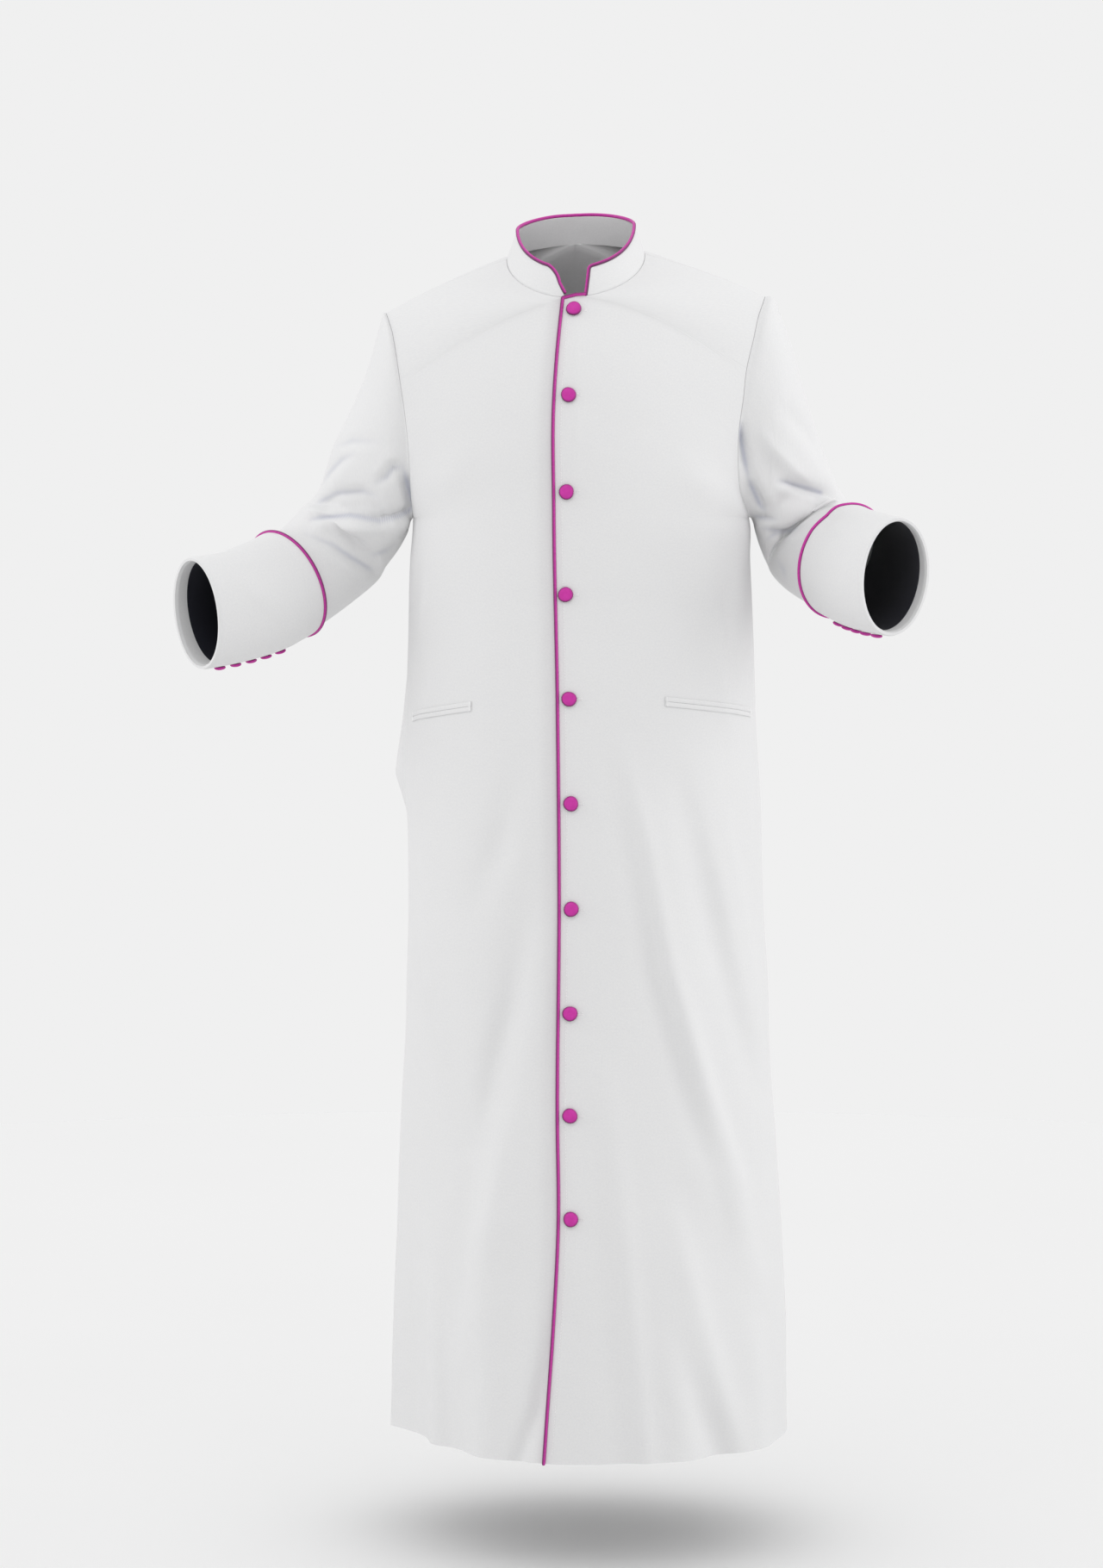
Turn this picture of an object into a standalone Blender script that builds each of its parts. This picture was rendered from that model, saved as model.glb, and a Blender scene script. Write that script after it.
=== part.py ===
"""A long clergy robe, hollow as if worn, with both forearms held out to the front.

Metres, +Z up. The robe faces -Y and its wearer's left is at +X.
The origin is the middle of the neck, level with the tops of the shoulder seams.
"""

import math
from collections import namedtuple

import bmesh
import bpy
import numpy as np
from mathutils import Vector

# Cloth and trim
WALL = 0.0016
LINING_WALL = 0.0010
GAP = 0.0003
PIPING_RADIUS = 0.0020
PIPING_SIDES = 6

# Body of the robe
HEM_HEIGHT = -1.393
UNDERARM_HEIGHT = -0.306
NECK_ROW = 0.60
COLLAR_START_ROW = 0.642
CENTRE_HANDLE = 0.60
SIDE_HANDLE = 0.56
SHOULDER_CROWN = 0.005
SHOULDER_ROLL = 0.0426

# Front, back and side depths from hem to neck, worn over a general figure
Section = namedtuple("Section", "height right left front back")
SECTIONS = (
    Section(-1.393, 0.221, 0.254, 0.205, 0.185),
    Section(-1.284, 0.219, 0.252, 0.199, 0.176),
    Section(-1.169, 0.214, 0.247, 0.190, 0.166),
    Section(-1.044, 0.209, 0.239, 0.179, 0.155),
    Section(-0.920, 0.203, 0.231, 0.169, 0.145),
    Section(-0.848, 0.201, 0.228, 0.164, 0.140),
    Section(-0.765, 0.198, 0.223, 0.159, 0.134),
    Section(-0.693, 0.199, 0.221, 0.155, 0.128),
    Section(-0.611, 0.202, 0.218, 0.150, 0.113),
    Section(-0.540, 0.201, 0.214, 0.146, 0.105),
    Section(-0.468, 0.199, 0.211, 0.141, 0.109),
    Section(-0.407, 0.197, 0.208, 0.136, 0.118),
    Section(-0.356, 0.195, 0.206, 0.133, 0.123),
    Section(-0.306, 0.1915, 0.2045, 0.130, 0.127),
)
# Low down, the wearer's right front falls back in a flat slant towards its side seam
Slant = namedtuple("Slant", "height lean handle")
RIGHT_SLANTS = (
    Slant(-1.393, 0.066, 0.34),
    Slant(-1.150, 0.045, 0.42),
    Slant(-0.950, 0.020, 0.51),
    Slant(-0.800, 0.000, SIDE_HANDLE),
)
Depth = namedtuple("Depth", "height depth")
CHEST_DEPTHS = (
    Depth(-0.306, 0.130),
    Depth(-0.200, 0.127),
    Depth(-0.120, 0.114),
    Depth(-0.050, 0.090),
)
BACK_DEPTHS = (
    Depth(-0.306, 0.127),
    Depth(-0.200, 0.130),
    Depth(-0.100, 0.119),
    Depth(-0.030, 0.094),
    Depth(0.018, 0.066),
)

# Neck and armholes
NECK_HALF_WIDTH = 0.0816
NECK_SHOULDER_HEIGHT = 0.0005
SHOULDER_POINT_DEPTH = 0.010
SHOULDER_POINT_HEIGHT = -0.0555
ARMHOLE_HALF_DEPTH = 0.066
Armhole = namedtuple("Armhole", "height right left")
ARMHOLES = (
    Armhole(-0.3060, 0.1915, 0.2045),
    Armhole(-0.2750, 0.1932, 0.1922),
    Armhole(-0.2450, 0.1948, 0.1890),
    Armhole(-0.2050, 0.1975, 0.1900),
    Armhole(-0.1730, 0.2008, 0.1947),
    Armhole(-0.1410, 0.2052, 0.1986),
    Armhole(-0.1050, 0.2105, 0.2076),
    Armhole(-0.0800, 0.2152, 0.2135),
    Armhole(-0.0555, 0.2234, 0.2229),
)

# Front closing: the left front's edge, which laps over to the wearer's right
EdgePoint = namedtuple("EdgePoint", "height reach")
FRONT_EDGE = (
    EdgePoint(-1.393, -0.0353),
    EdgePoint(-1.323, -0.0306),
    EdgePoint(-1.253, -0.0256),
    EdgePoint(-1.112, -0.0186),
    EdgePoint(-0.992, -0.0197),
    EdgePoint(-0.753, -0.0177),
    EdgePoint(-0.513, -0.0197),
    EdgePoint(-0.304, -0.0237),
    EdgePoint(-0.167, -0.0237),
    EdgePoint(-0.100, -0.0190),
    EdgePoint(-0.050, -0.0137),
)
UNDERLAP_ROW = 0.05
UNDERLAP_DROP = WALL + GAP
LAP_SHARES = (0.022, 0.080)

# Sleeves, as rings from the outer line down to the inner line, each facing so many degrees inwards
Ring = namedtuple("Ring", "outer inner half_depth facing")
RIGHT_SLEEVE = (
    Ring((-0.2275, 0.006, -0.0660), (-0.1935, 0.003, -0.3075), 0.066, 0),
    Ring((-0.2330, 0.008, -0.0850), (-0.1955, 0.005, -0.3105), 0.067, 0),
    Ring((-0.2444, 0.012, -0.1266), (-0.1975, 0.008, -0.3170), 0.067, 0),
    Ring((-0.2650, 0.018, -0.1780), (-0.2010, 0.014, -0.3270), 0.066, 0),
    Ring((-0.2875, 0.026, -0.2230), (-0.2110, 0.022, -0.3440), 0.064, 5),
    Ring((-0.3052, 0.034, -0.2728), (-0.2260, 0.034, -0.3640), 0.063, 12),
    Ring((-0.3292, 0.038, -0.2974), (-0.2400, 0.048, -0.3850), 0.062, 30),
    Ring((-0.3462, 0.013, -0.3176), (-0.2760, 0.033, -0.4140), 0.059, 42),
    Ring((-0.3621, -0.022, -0.3263), (-0.3205, 0.000, -0.4428), 0.053, 48),
    Ring((-0.3815, -0.050, -0.3360), (-0.3480, -0.026, -0.4590), 0.049, 50),
    Ring((-0.4100, -0.085, -0.3470), (-0.3880, -0.060, -0.4710), 0.043, 50),
    Ring((-0.4442, -0.120, -0.3519), (-0.4359, -0.097, -0.4800), 0.036, 50),
)
LEFT_SLEEVE = (
    Ring((0.2330, 0.006, -0.0490), (0.2065, 0.003, -0.3060), 0.066, 0),
    Ring((0.2420, 0.008, -0.0700), (0.2085, 0.005, -0.3085), 0.067, 0),
    Ring((0.2550, 0.012, -0.1060), (0.2105, 0.008, -0.3140), 0.067, 0),
    Ring((0.2710, 0.018, -0.1630), (0.2130, 0.012, -0.3240), 0.066, 0),
    Ring((0.2910, 0.025, -0.2210), (0.2190, 0.020, -0.3420), 0.064, 5),
    Ring((0.3090, 0.026, -0.2650), (0.2290, 0.034, -0.3620), 0.062, 20),
    Ring((0.3220, 0.012, -0.2910), (0.2440, 0.052, -0.3800), 0.060, 45),
    Ring((0.3260, -0.020, -0.2930), (0.2640, 0.020, -0.3990), 0.057, 62),
    Ring((0.3310, -0.058, -0.2948), (0.2950, -0.050, -0.4180), 0.050, 70),
    Ring((0.3430, -0.096, -0.2990), (0.3110, -0.090, -0.4280), 0.047, 72),
    Ring((0.3560, -0.138, -0.3030), (0.3310, -0.134, -0.4340), 0.044, 72),
    Ring((0.3690, -0.185, -0.3060), (0.3580, -0.180, -0.4380), 0.041, 72),
)
RINGS_TO_SETTLE = 3.0
# Columns of a sleeve where its front and back halves meet, just past the shoulder and the underarm
SLEEVE_SEAMS = (1, 12)
RING_STEP = 0.02
SLEEVE_RINGS = (
    0.0, 0.5, 1.0, 1.6, 2.2, 2.8, 3.4, 4.0, 4.5, 5.0, 5.4, 5.8, 6.2, 6.6, 7.0, 7.4, 7.9, 8.4, 8.9,
    9.0, 9.75, 10.50, 11.25, 11.66, 11.90,
)

# Cuff: turned back over the sleeve, and in at the opening as a narrow facing
CuffRow = namedtuple("CuffRow", "outer_ring outer_lift inner_ring inner_lift")
CUFF_ROWS = (
    CuffRow(9.00, WALL + GAP, 9.00, GAP),
    CuffRow(9.75, WALL + GAP, 9.75, GAP),
    CuffRow(10.50, WALL + GAP, 10.50, GAP),
    CuffRow(11.25, WALL + GAP, 11.25, GAP),
    CuffRow(11.66, WALL + GAP, 11.66, GAP),
    CuffRow(11.93, WALL + GAP, 11.90, GAP),
    CuffRow(12.00, WALL * 0.4, 11.93, -WALL * 0.2),
    CuffRow(12.00, -WALL * 1.4, 11.93, -WALL * 0.8),
    CuffRow(11.93, -2 * WALL - GAP, 11.90, -WALL - GAP),
    CuffRow(11.66, -2 * WALL - GAP, 11.66, -WALL - GAP),
)
LINING_ROWS = (8.40, 8.90, 9.00, 9.75, 10.50, 11.25, 11.65)
CUFF_PIPING_CLEARANCE = 0.0002
RING_NUDGE = 0.05

# Collar, with the outline of its two front ends
COLLAR_HEIGHT = 0.032
COLLAR_LEAN_LENGTH = 0.10
COLLAR_FRONT_LEAN = 0.005
COLLAR_SIDE_LEAN = 0.012
COLLAR_END_MARGIN = 0.001
COLLAR_SEAM_GAP = 1.4 * GAP
CollarEnd = namedtuple("CollarEnd", "base_along top_along height")
RIGHT_COLLAR_END = (
    CollarEnd(0.0000, 0.0095, 0.015),
    CollarEnd(0.0020, 0.0115, 0.021),
    CollarEnd(0.0050, 0.0150, 0.026),
    CollarEnd(0.0100, 0.0200, 0.030),
    CollarEnd(0.0165, 0.0250, 0.032),
)
LEFT_COLLAR_END = (
    CollarEnd(0.0000, 0.0050, 0.030),
    CollarEnd(0.0030, 0.0075, 0.0315),
    CollarEnd(0.0165, 0.0195, 0.032),
)
COLLAR_PIPING_START = 0.0052
FRONT_PIPING_LIFT = 0.0009
FRONT_PIPING_STOP = 0.0089
PIPING_CORNER_CUT = 0.0015
TOWARDS_BUTTONS = np.array([0.05, 0.0, -0.05])

# Buttons
Button = namedtuple("Button", "across height")
FRONT_BUTTONS = (
    Button(-0.0028, -0.0643),
    Button(-0.0089, -0.1633),
    Button(-0.0114, -0.2754),
    Button(-0.0124, -0.3935),
    Button(-0.0084, -0.5135),
    Button(-0.0064, -0.6337),
    Button(-0.0059, -0.7550),
    Button(-0.0074, -0.8753),
    Button(-0.0074, -0.9925),
    Button(-0.0064, -1.1112),
)
FRONT_BUTTON_RADIUS = 0.0088
CUFF_BUTTON_RADIUS = 0.0068
CUFF_BUTTON_COUNT = 5
CUFF_BUTTON_STEP = 0.0220
CUFF_BUTTON_FIRST = 0.026
FRONT_BUTTON_SIDES = 12
CUFF_BUTTON_SIDES = 8
# Half of a button's section, in shares of its radius: across, rise
BUTTON_PROFILE = ((0.0, 0.0), (0.86, 0.0), (1.0, 0.14), (0.94, 0.32), (0.62, 0.50), (0.0, 0.58))
FRONT_BUTTON_LIFT = 1.5 * GAP
CUFF_BUTTON_LIFT = 2.3 * GAP

# Pockets: two narrow lips on each front
Pocket = namedtuple("Pocket", "side inner_across outer_across inner_height outer_height")
POCKETS = (
    Pocket("right", -0.1213, -0.1911, -0.523, -0.539),
    Pocket("left", 0.1025, 0.2049, -0.517, -0.534),
)
POCKET_LEVEL = -0.53
WELT_WIDTH = 0.0055
WELT_WALL = 0.0010
WELT_LIFT = 1.3 * GAP

# How finely the cloth is divided
SKIRT_ROWS = 13
CHEST_ROWS = (0.0, 0.1, 0.2, 0.3, 0.4, 0.5, NECK_ROW, COLLAR_START_ROW, 0.7, 0.8, 0.9, 1.0)
PANEL_COLUMNS = (0.0, UNDERLAP_ROW, 0.10, 0.17, 0.25, 0.34, 0.43, 0.52, 0.61, 0.70, 0.79, 0.87, 0.94, 1.0)

FRONT = -1
BACK = 1
RIGHT = -1
LEFT = 1

# Largest folds: points given as share of the way from centre to side, height, and rise of the cloth
Fold = namedtuple("Fold", "face width path")
FOLD_GIRTH = 0.30
FOLD_SIDE_FADE = 0.14
FOLDS = (
    Fold(FRONT, 0.024, ((0.20, -0.55, 0.0), (0.27, -0.68, 0.004), (0.34, -0.83, 0.006), (0.42, -1.06, 0.007),
                        (0.62, -1.18, 0.004), (0.74, -1.24, 0.0))),
    Fold(FRONT, 0.022, ((0.44, -0.56, 0.0), (0.62, -0.74, 0.004), (0.74, -0.90, 0.003), (0.78, -1.00, 0.0))),
    Fold(FRONT, 0.026, ((0.30, -1.10, 0.0), (0.29, -1.25, 0.006), (0.30, -1.40, 0.009))),
    Fold(FRONT, 0.024, ((0.56, -1.15, 0.0), (0.60, -1.28, 0.006), (0.63, -1.40, 0.008))),
    Fold(FRONT, 0.026, ((-0.10, -0.62, 0.0), (-0.20, -0.78, -0.003), (-0.28, -0.98, -0.006),
                        (-0.26, -1.12, 0.0))),
    Fold(FRONT, 0.026, ((-0.74, -0.72, 0.0), (-0.62, -0.88, -0.004), (-0.45, -1.04, -0.006),
                        (-0.36, -1.14, 0.0))),
    Fold(FRONT, 0.026, ((-0.22, -0.96, 0.0), (-0.28, -1.12, 0.006), (-0.34, -1.26, 0.008),
                        (-0.36, -1.40, 0.009))),
    Fold(FRONT, 0.022, ((-0.68, -1.10, 0.0), (-0.66, -1.26, 0.005), (-0.65, -1.40, 0.007))),
    Fold(BACK, 0.024, ((-0.84, -0.43, 0.0), (-0.86, -0.54, 0.009), (-0.88, -0.61, 0.018),
                       (-0.88, -0.65, 0.006), (-0.88, -0.69, 0.0))),
    Fold(BACK, 0.024, ((-0.66, -0.62, 0.0), (-0.68, -0.95, 0.008), (-0.72, -1.40, 0.015))),
    Fold(BACK, 0.022, ((-0.42, -0.55, 0.0), (-0.42, -0.90, 0.007), (-0.44, -1.40, 0.014))),
    Fold(BACK, 0.024, ((-0.14, -0.48, 0.0), (-0.16, -0.85, 0.008), (-0.15, -1.40, 0.016))),
    Fold(BACK, 0.022, ((0.14, -0.56, 0.0), (0.13, -0.92, 0.007), (0.16, -1.40, 0.013))),
    Fold(BACK, 0.025, ((0.40, -0.50, 0.0), (0.42, -0.86, 0.008), (0.45, -1.40, 0.017))),
    Fold(BACK, 0.022, ((0.68, -0.60, 0.0), (0.70, -0.95, 0.006), (0.75, -1.40, 0.012))),
)
# The same on the sleeves: point given as way round from the outer line, ring, and rise
SleeveFold = namedtuple("SleeveFold", "side width path")
SLEEVE_GIRTH = 0.19
SLEEVE_RING_LENGTH = 0.045
RINGS_BEFORE_FOLDS = 2
LAST_FOLD_RING = 8.95
FOLD_FADE_RINGS = 0.8
SLEEVE_FOLDS = (
    SleeveFold(RIGHT, 0.013, ((0.06, 6.4, 0.0), (0.25, 6.4, -0.009), (0.48, 5.4, -0.010), (0.75, 4.4, 0.0))),
    SleeveFold(RIGHT, 0.015, ((0.08, 7.2, 0.0), (0.25, 7.1, 0.008), (0.50, 6.3, 0.007), (0.75, 5.4, 0.0))),
    SleeveFold(RIGHT, 0.014, ((-0.45, 6.0, 0.0), (-0.22, 6.5, -0.008), (-0.06, 6.4, 0.0))),
    SleeveFold(LEFT, 0.013, ((0.06, 6.4, 0.0), (0.25, 6.2, -0.008), (0.48, 5.2, -0.008), (0.75, 4.2, 0.0))),
    SleeveFold(LEFT, 0.015, ((0.06, 7.2, 0.0), (0.22, 7.0, 0.008), (0.46, 6.2, 0.006), (0.72, 5.2, 0.0))),
    SleeveFold(LEFT, 0.014, ((-0.45, 6.0, 0.0), (-0.22, 6.5, -0.008), (-0.06, 6.4, 0.0))),
)


def smooth(keys, values, at):
    """Values read at any place from a smooth curve through a short table."""
    keys = np.asarray(keys, float)
    values = np.asarray(values, float)
    at = np.clip(np.asarray(at, float), keys[0], keys[-1])
    steps = np.diff(keys)
    rises = np.diff(values, axis=0)
    column = (-1,) + (1,) * (values.ndim - 1)
    slopes = rises / steps.reshape(column)
    before = steps[:-1].reshape(column)
    after = steps[1:].reshape(column)
    middle = (slopes[:-1] * after + slopes[1:] * before) / (before + after)
    tangents = np.concatenate([slopes[:1], middle, slopes[-1:]])
    place = np.clip(np.searchsorted(keys, at, side="right") - 1, 0, len(keys) - 2)
    length = steps[place]
    share = (at - keys[place]) / length
    if values.ndim > 1:
        length = length[..., None]
        share = share[..., None]
    return (
        values[place] * (1 + 2 * share) * (1 - share) ** 2
        + tangents[place] * length * share * (1 - share) ** 2
        + values[place + 1] * share**2 * (3 - 2 * share)
        + tangents[place + 1] * length * share**2 * (share - 1)
    )


def ease(share):
    share = np.clip(share, 0.0, 1.0)
    return share * share * (3 - 2 * share)


def stack(x, y, z):
    return np.stack(np.broadcast_arrays(x, y, z), axis=-1)


def unit(vectors):
    return vectors / np.linalg.norm(vectors, axis=-1, keepdims=True)


def depth_at(face, height):
    skirt = [(row.height, row.front if face == FRONT else row.back) for row in SECTIONS]
    chest = [(row.height, row.depth) for row in (CHEST_DEPTHS if face == FRONT else BACK_DEPTHS)]
    heights, depths = zip(*(skirt + chest[1:]))
    return face * smooth(heights, depths, height)


def side_reach(side, height):
    rows = SECTIONS + ARMHOLES[1:]
    reaches = [row.right if side == RIGHT else row.left for row in rows]
    return side * smooth([row.height for row in rows], reaches, height)


def inner_edge(face, side, row):
    """The panel's inner boundary: the centre line from the hem (row 0) up, then the neckline to row 2."""
    neck_height = CHEST_DEPTHS[-1].height if face == FRONT else BACK_DEPTHS[-1].height
    chest = np.clip(row - 1, 0, NECK_ROW) / NECK_ROW
    height = HEM_HEIGHT + (UNDERARM_HEIGHT - HEM_HEIGHT) * np.minimum(row, 1)
    height = height + (neck_height - UNDERARM_HEIGHT) * chest
    turn = np.clip((row - 1 - NECK_ROW) / (1 - NECK_ROW), 0, 1) * math.pi / 2
    depth = depth_at(face, height) * np.cos(turn)
    height = height + (NECK_SHOULDER_HEIGHT - neck_height) * (1 - np.cos(turn))
    return stack(side * NECK_HALF_WIDTH * np.sin(turn), depth, height)


def outer_edge(face, side, row):
    """The panel's outer boundary: the side seam up to the underarm (row 1), then the armhole to row 2."""
    turn = math.pi * (1 - np.clip(row - 1, 0, 1))
    middle = (SHOULDER_POINT_HEIGHT + UNDERARM_HEIGHT) / 2
    half = (SHOULDER_POINT_HEIGHT - UNDERARM_HEIGHT) / 2
    skirt_height = HEM_HEIGHT + (UNDERARM_HEIGHT - HEM_HEIGHT) * np.minimum(row, 1)
    height = np.where(row < 1, skirt_height, middle + half * np.cos(turn))
    depth = SHOULDER_POINT_DEPTH * (1 + np.cos(turn)) / 2 + face * ARMHOLE_HALF_DEPTH * np.sin(turn)
    return stack(side_reach(side, height), np.where(row < 1, 0.0, depth), height)


def body(face, side, share, row):
    """A point of the smooth body: share 0 centre, 1 side; row 0 hem, 1 underarm, 2 shoulder."""
    share, row = np.broadcast_arrays(np.asarray(share, float), np.asarray(row, float))
    start = inner_edge(face, side, row)
    end = outer_edge(face, side, row)
    blend = np.clip(row - 1, 0, 1)[..., None]
    straight = (end - start) / 3
    zero = np.zeros(row.shape)
    out = stack(CENTRE_HANDLE * end[..., 0], zero, zero)
    lean, handle = zero, SIDE_HANDLE
    if (face, side) == (FRONT, RIGHT):
        heights = [slant.height for slant in RIGHT_SLANTS]
        slants = smooth(heights, [slant[1:] for slant in RIGHT_SLANTS], end[..., 2])
        lean, handle = slants[..., 0], slants[..., 1]
    back = stack(lean, handle * (start[..., 1] - end[..., 1]), zero)
    crown = stack(zero, zero, SHOULDER_CROWN + zero)
    first = start + out * (1 - blend) + (straight + crown) * blend
    second = end + back * (1 - blend) + (crown - straight) * blend
    s = share[..., None]
    points = (1 - s) ** 3 * start + 3 * s * (1 - s) ** 2 * first + 3 * s * s * (1 - s) * second + s**3 * end
    upper = ease((points[..., 2] - UNDERARM_HEIGHT) / (SHOULDER_POINT_HEIGHT - UNDERARM_HEIGHT))
    points[..., 2] += SHOULDER_ROLL * points[..., 0] * upper
    return points


def row_at(height):
    """The row of the skirt, or of the centre line above it, that lies at a height."""
    skirt = (height - HEM_HEIGHT) / (UNDERARM_HEIGHT - HEM_HEIGHT)
    chest = 1 + NECK_ROW * (height - UNDERARM_HEIGHT) / (CHEST_DEPTHS[-1].height - UNDERARM_HEIGHT)
    return np.where(skirt < 1, skirt, chest)


def share_at(face, side, row, across):
    """How far from centre to side a row of the body reaches the distance across."""
    low = np.zeros(np.broadcast(row, across).shape)
    high = np.ones_like(low)
    for _ in range(30):
        middle = (low + high) / 2
        short = side * body(face, side, middle, row)[..., 0] < side * across
        low = np.where(short, middle, low)
        high = np.where(short, high, middle)
    return (low + high) / 2


def rise_near(path, width, across, along, across_scale, along_scale):
    """Height of one soft fold at each place, from the nearest point of its path."""
    nearest = np.full(np.broadcast(across, along).shape, np.inf)
    rise = np.zeros_like(nearest)
    for first, last in zip(path[:-1], path[1:]):
        step = ((last[0] - first[0]) * across_scale, (last[1] - first[1]) * along_scale)
        x = (across - first[0]) * across_scale
        y = (along - first[1]) * along_scale
        share = np.clip((x * step[0] + y * step[1]) / (step[0] ** 2 + step[1] ** 2), 0, 1)
        distance = np.hypot(x - share * step[0], y - share * step[1])
        closer = distance < nearest
        nearest = np.where(closer, distance, nearest)
        rise = np.where(closer, first[2] + share * (last[2] - first[2]), rise)
    return rise * np.exp(-((nearest / width) ** 2))


def body_rise(face, side, share, row):
    height = HEM_HEIGHT + (UNDERARM_HEIGHT - HEM_HEIGHT) * row
    total = np.zeros(np.broadcast(share, row).shape)
    for fold in FOLDS:
        if fold.face == face:
            total += rise_near(fold.path, fold.width, side * share, height, FOLD_GIRTH, 1.0)
    return total * ease((1 - share) / FOLD_SIDE_FADE) * ease((1.2 - row) / 0.2)


def shared_normals(grids, turns):
    """Outward normals of point grids. Grids that meet along an edge get the same normals there."""
    points = np.concatenate([grid.reshape(-1, 3) for grid in grids])
    _, same = np.unique(np.round(points, 6), axis=0, return_inverse=True)
    same = same.reshape(-1)
    sums = np.zeros((same.max() + 1, 3))
    first = 0
    places = []
    for grid, turn in zip(grids, turns):
        rows, columns = grid.shape[:2]
        index = first + np.arange(rows * columns).reshape(rows, columns)
        first += rows * columns
        places.append(index)
        faces = turn * np.cross(grid[1:, 1:] - grid[:-1, :-1], grid[1:, :-1] - grid[:-1, 1:])
        for corner in (index[:-1, :-1], index[1:, :-1], index[:-1, 1:], index[1:, 1:]):
            np.add.at(sums, same[corner].reshape(-1), faces.reshape(-1, 3))
    normals = unit(sums)
    return [normals[same[index]] for index in places]


def edge_directions(points, normals):
    """Across an edge and along the cloth, for a row of points on that edge."""
    along = np.gradient(points, axis=0)
    return unit(np.cross(along, normals))


Half = namedtuple("Half", "points normals columns")


def body_rows():
    skirt = np.linspace(0, 1, SKIRT_ROWS)[:-1]
    return np.concatenate([skirt, 1 + np.array(CHEST_ROWS)])


def front_edge_share(rows):
    """Where the left front's edge runs on the wearer's right half of the body."""
    heights = inner_edge(FRONT, RIGHT, np.minimum(rows, 1 + NECK_ROW))[:, 2]
    reach = smooth([row.height for row in FRONT_EDGE], [row.reach for row in FRONT_EDGE], heights)
    return share_at(FRONT, RIGHT, np.minimum(rows, 1 + NECK_ROW), reach)


def body_halves():
    """The four quarters of the body as grids of rows and columns, with normals that agree at every seam."""
    rows = body_rows()
    plain = np.tile(PANEL_COLUMNS, (len(rows), 1))
    lapped = plain.copy()
    edge = front_edge_share(rows)
    lap_rows = slice(0, neck_row_index() + 2)
    lapped[lap_rows, 1] = edge[lap_rows]
    lapped[lap_rows, 2] = edge[lap_rows] + LAP_SHARES[0]
    lapped[lap_rows, 3] = edge[lap_rows] + LAP_SHARES[1]
    quarters = ((FRONT, RIGHT, lapped), (FRONT, LEFT, plain), (BACK, RIGHT, plain), (BACK, LEFT, plain))
    turns = [-face * side for face, side, _ in quarters]
    grids = [body(face, side, columns, rows[:, None]) for face, side, columns in quarters]
    normals = shared_normals(grids, turns)
    folded = [
        grid + normal * body_rise(face, side, columns, rows[:, None])[..., None]
        for grid, normal, (face, side, columns) in zip(grids, normals, quarters)
    ]
    normals = shared_normals(folded, turns)
    return {
        (face, side): Half(grid, normal, columns)
        for (face, side, columns), grid, normal in zip(quarters, folded, normals)
    }


def trim_seams(grid, half_gap=GAP / 2):
    """Draws the side seam and shoulder seam edges of a grid back a little, along the cloth."""
    trimmed = grid.copy()
    trimmed[:, -1] += half_gap * unit(grid[:, -2] - grid[:, -1])
    trimmed[-1] += half_gap * unit(grid[-2] - grid[-1])
    return trimmed


def wall_mesh(grids, turns):
    """A closed wall's points and faces, from pairs of outer and inner grids joined where points agree."""
    outer = np.concatenate([pair[0].reshape(-1, 3) for pair in grids])
    inner = np.concatenate([pair[1].reshape(-1, 3) for pair in grids])
    quads = []
    first = 0
    for (grid, _), turn in zip(grids, turns):
        rows, columns = grid.shape[:2]
        index = first + np.arange(rows * columns).reshape(rows, columns)
        first += rows * columns
        corners = [index[:-1, :-1], index[:-1, 1:], index[1:, 1:], index[1:, :-1]]
        cells = np.stack(corners, axis=-1).reshape(-1, 4)
        cells = cells[~np.isnan(outer[cells]).any(axis=(1, 2))]
        quads.append(cells if turn > 0 else cells[:, ::-1])
    quads = np.concatenate(quads)
    used = np.unique(quads)
    _, chosen, same = np.unique(np.round(outer[used], 6), axis=0, return_index=True, return_inverse=True)
    new = np.full(len(outer), -1)
    new[used] = same.reshape(-1)
    quads = new[quads]
    outer = outer[used][chosen]
    inner = inner[used][chosen]
    count = len(outer)
    edges = np.stack([quads, np.roll(quads, -1, axis=1)], axis=-1).reshape(-1, 2)
    there = {tuple(edge) for edge in edges.tolist()}
    rim = [(a, b) for a, b in edges.tolist() if (b, a) not in there]
    triangles = np.concatenate([quads[:, [0, 1, 2]], quads[:, [0, 2, 3]]])
    faces = triangles.tolist() + (triangles[:, ::-1] + count).tolist()
    for a, b in rim:
        c, d = a + count, b + count
        faces += [(b, a, c), (b, c, d)] if tuple(outer[a]) < tuple(outer[b]) else [(a, c, d), (a, d, b)]
    return np.concatenate([outer, inner]), faces


def material(name, colour, roughness, sheen=0.0):
    made = bpy.data.materials.new(name)
    made.use_nodes = True
    shader = made.node_tree.nodes["Principled BSDF"]
    shader.inputs["Base Color"].default_value = (*colour, 1.0)
    shader.inputs["Roughness"].default_value = roughness
    shader.inputs["Metallic"].default_value = 0.0
    shader.inputs["Sheen Weight"].default_value = sheen
    made.diffuse_color = (*colour, 1.0)
    return made


def add_mesh(name, points, faces, finish, sharp_angle=60):
    mesh = bpy.data.meshes.new(name)
    mesh.from_pydata([tuple(point) for point in points], [], [tuple(face) for face in faces])
    mesh.update()
    mesh.shade_smooth()
    mesh.set_sharp_from_angle(angle=math.radians(sharp_angle))
    mesh.materials.append(finish)
    piece = bpy.data.objects.new(name, mesh)
    bpy.context.scene.collection.objects.link(piece)
    return piece


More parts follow.
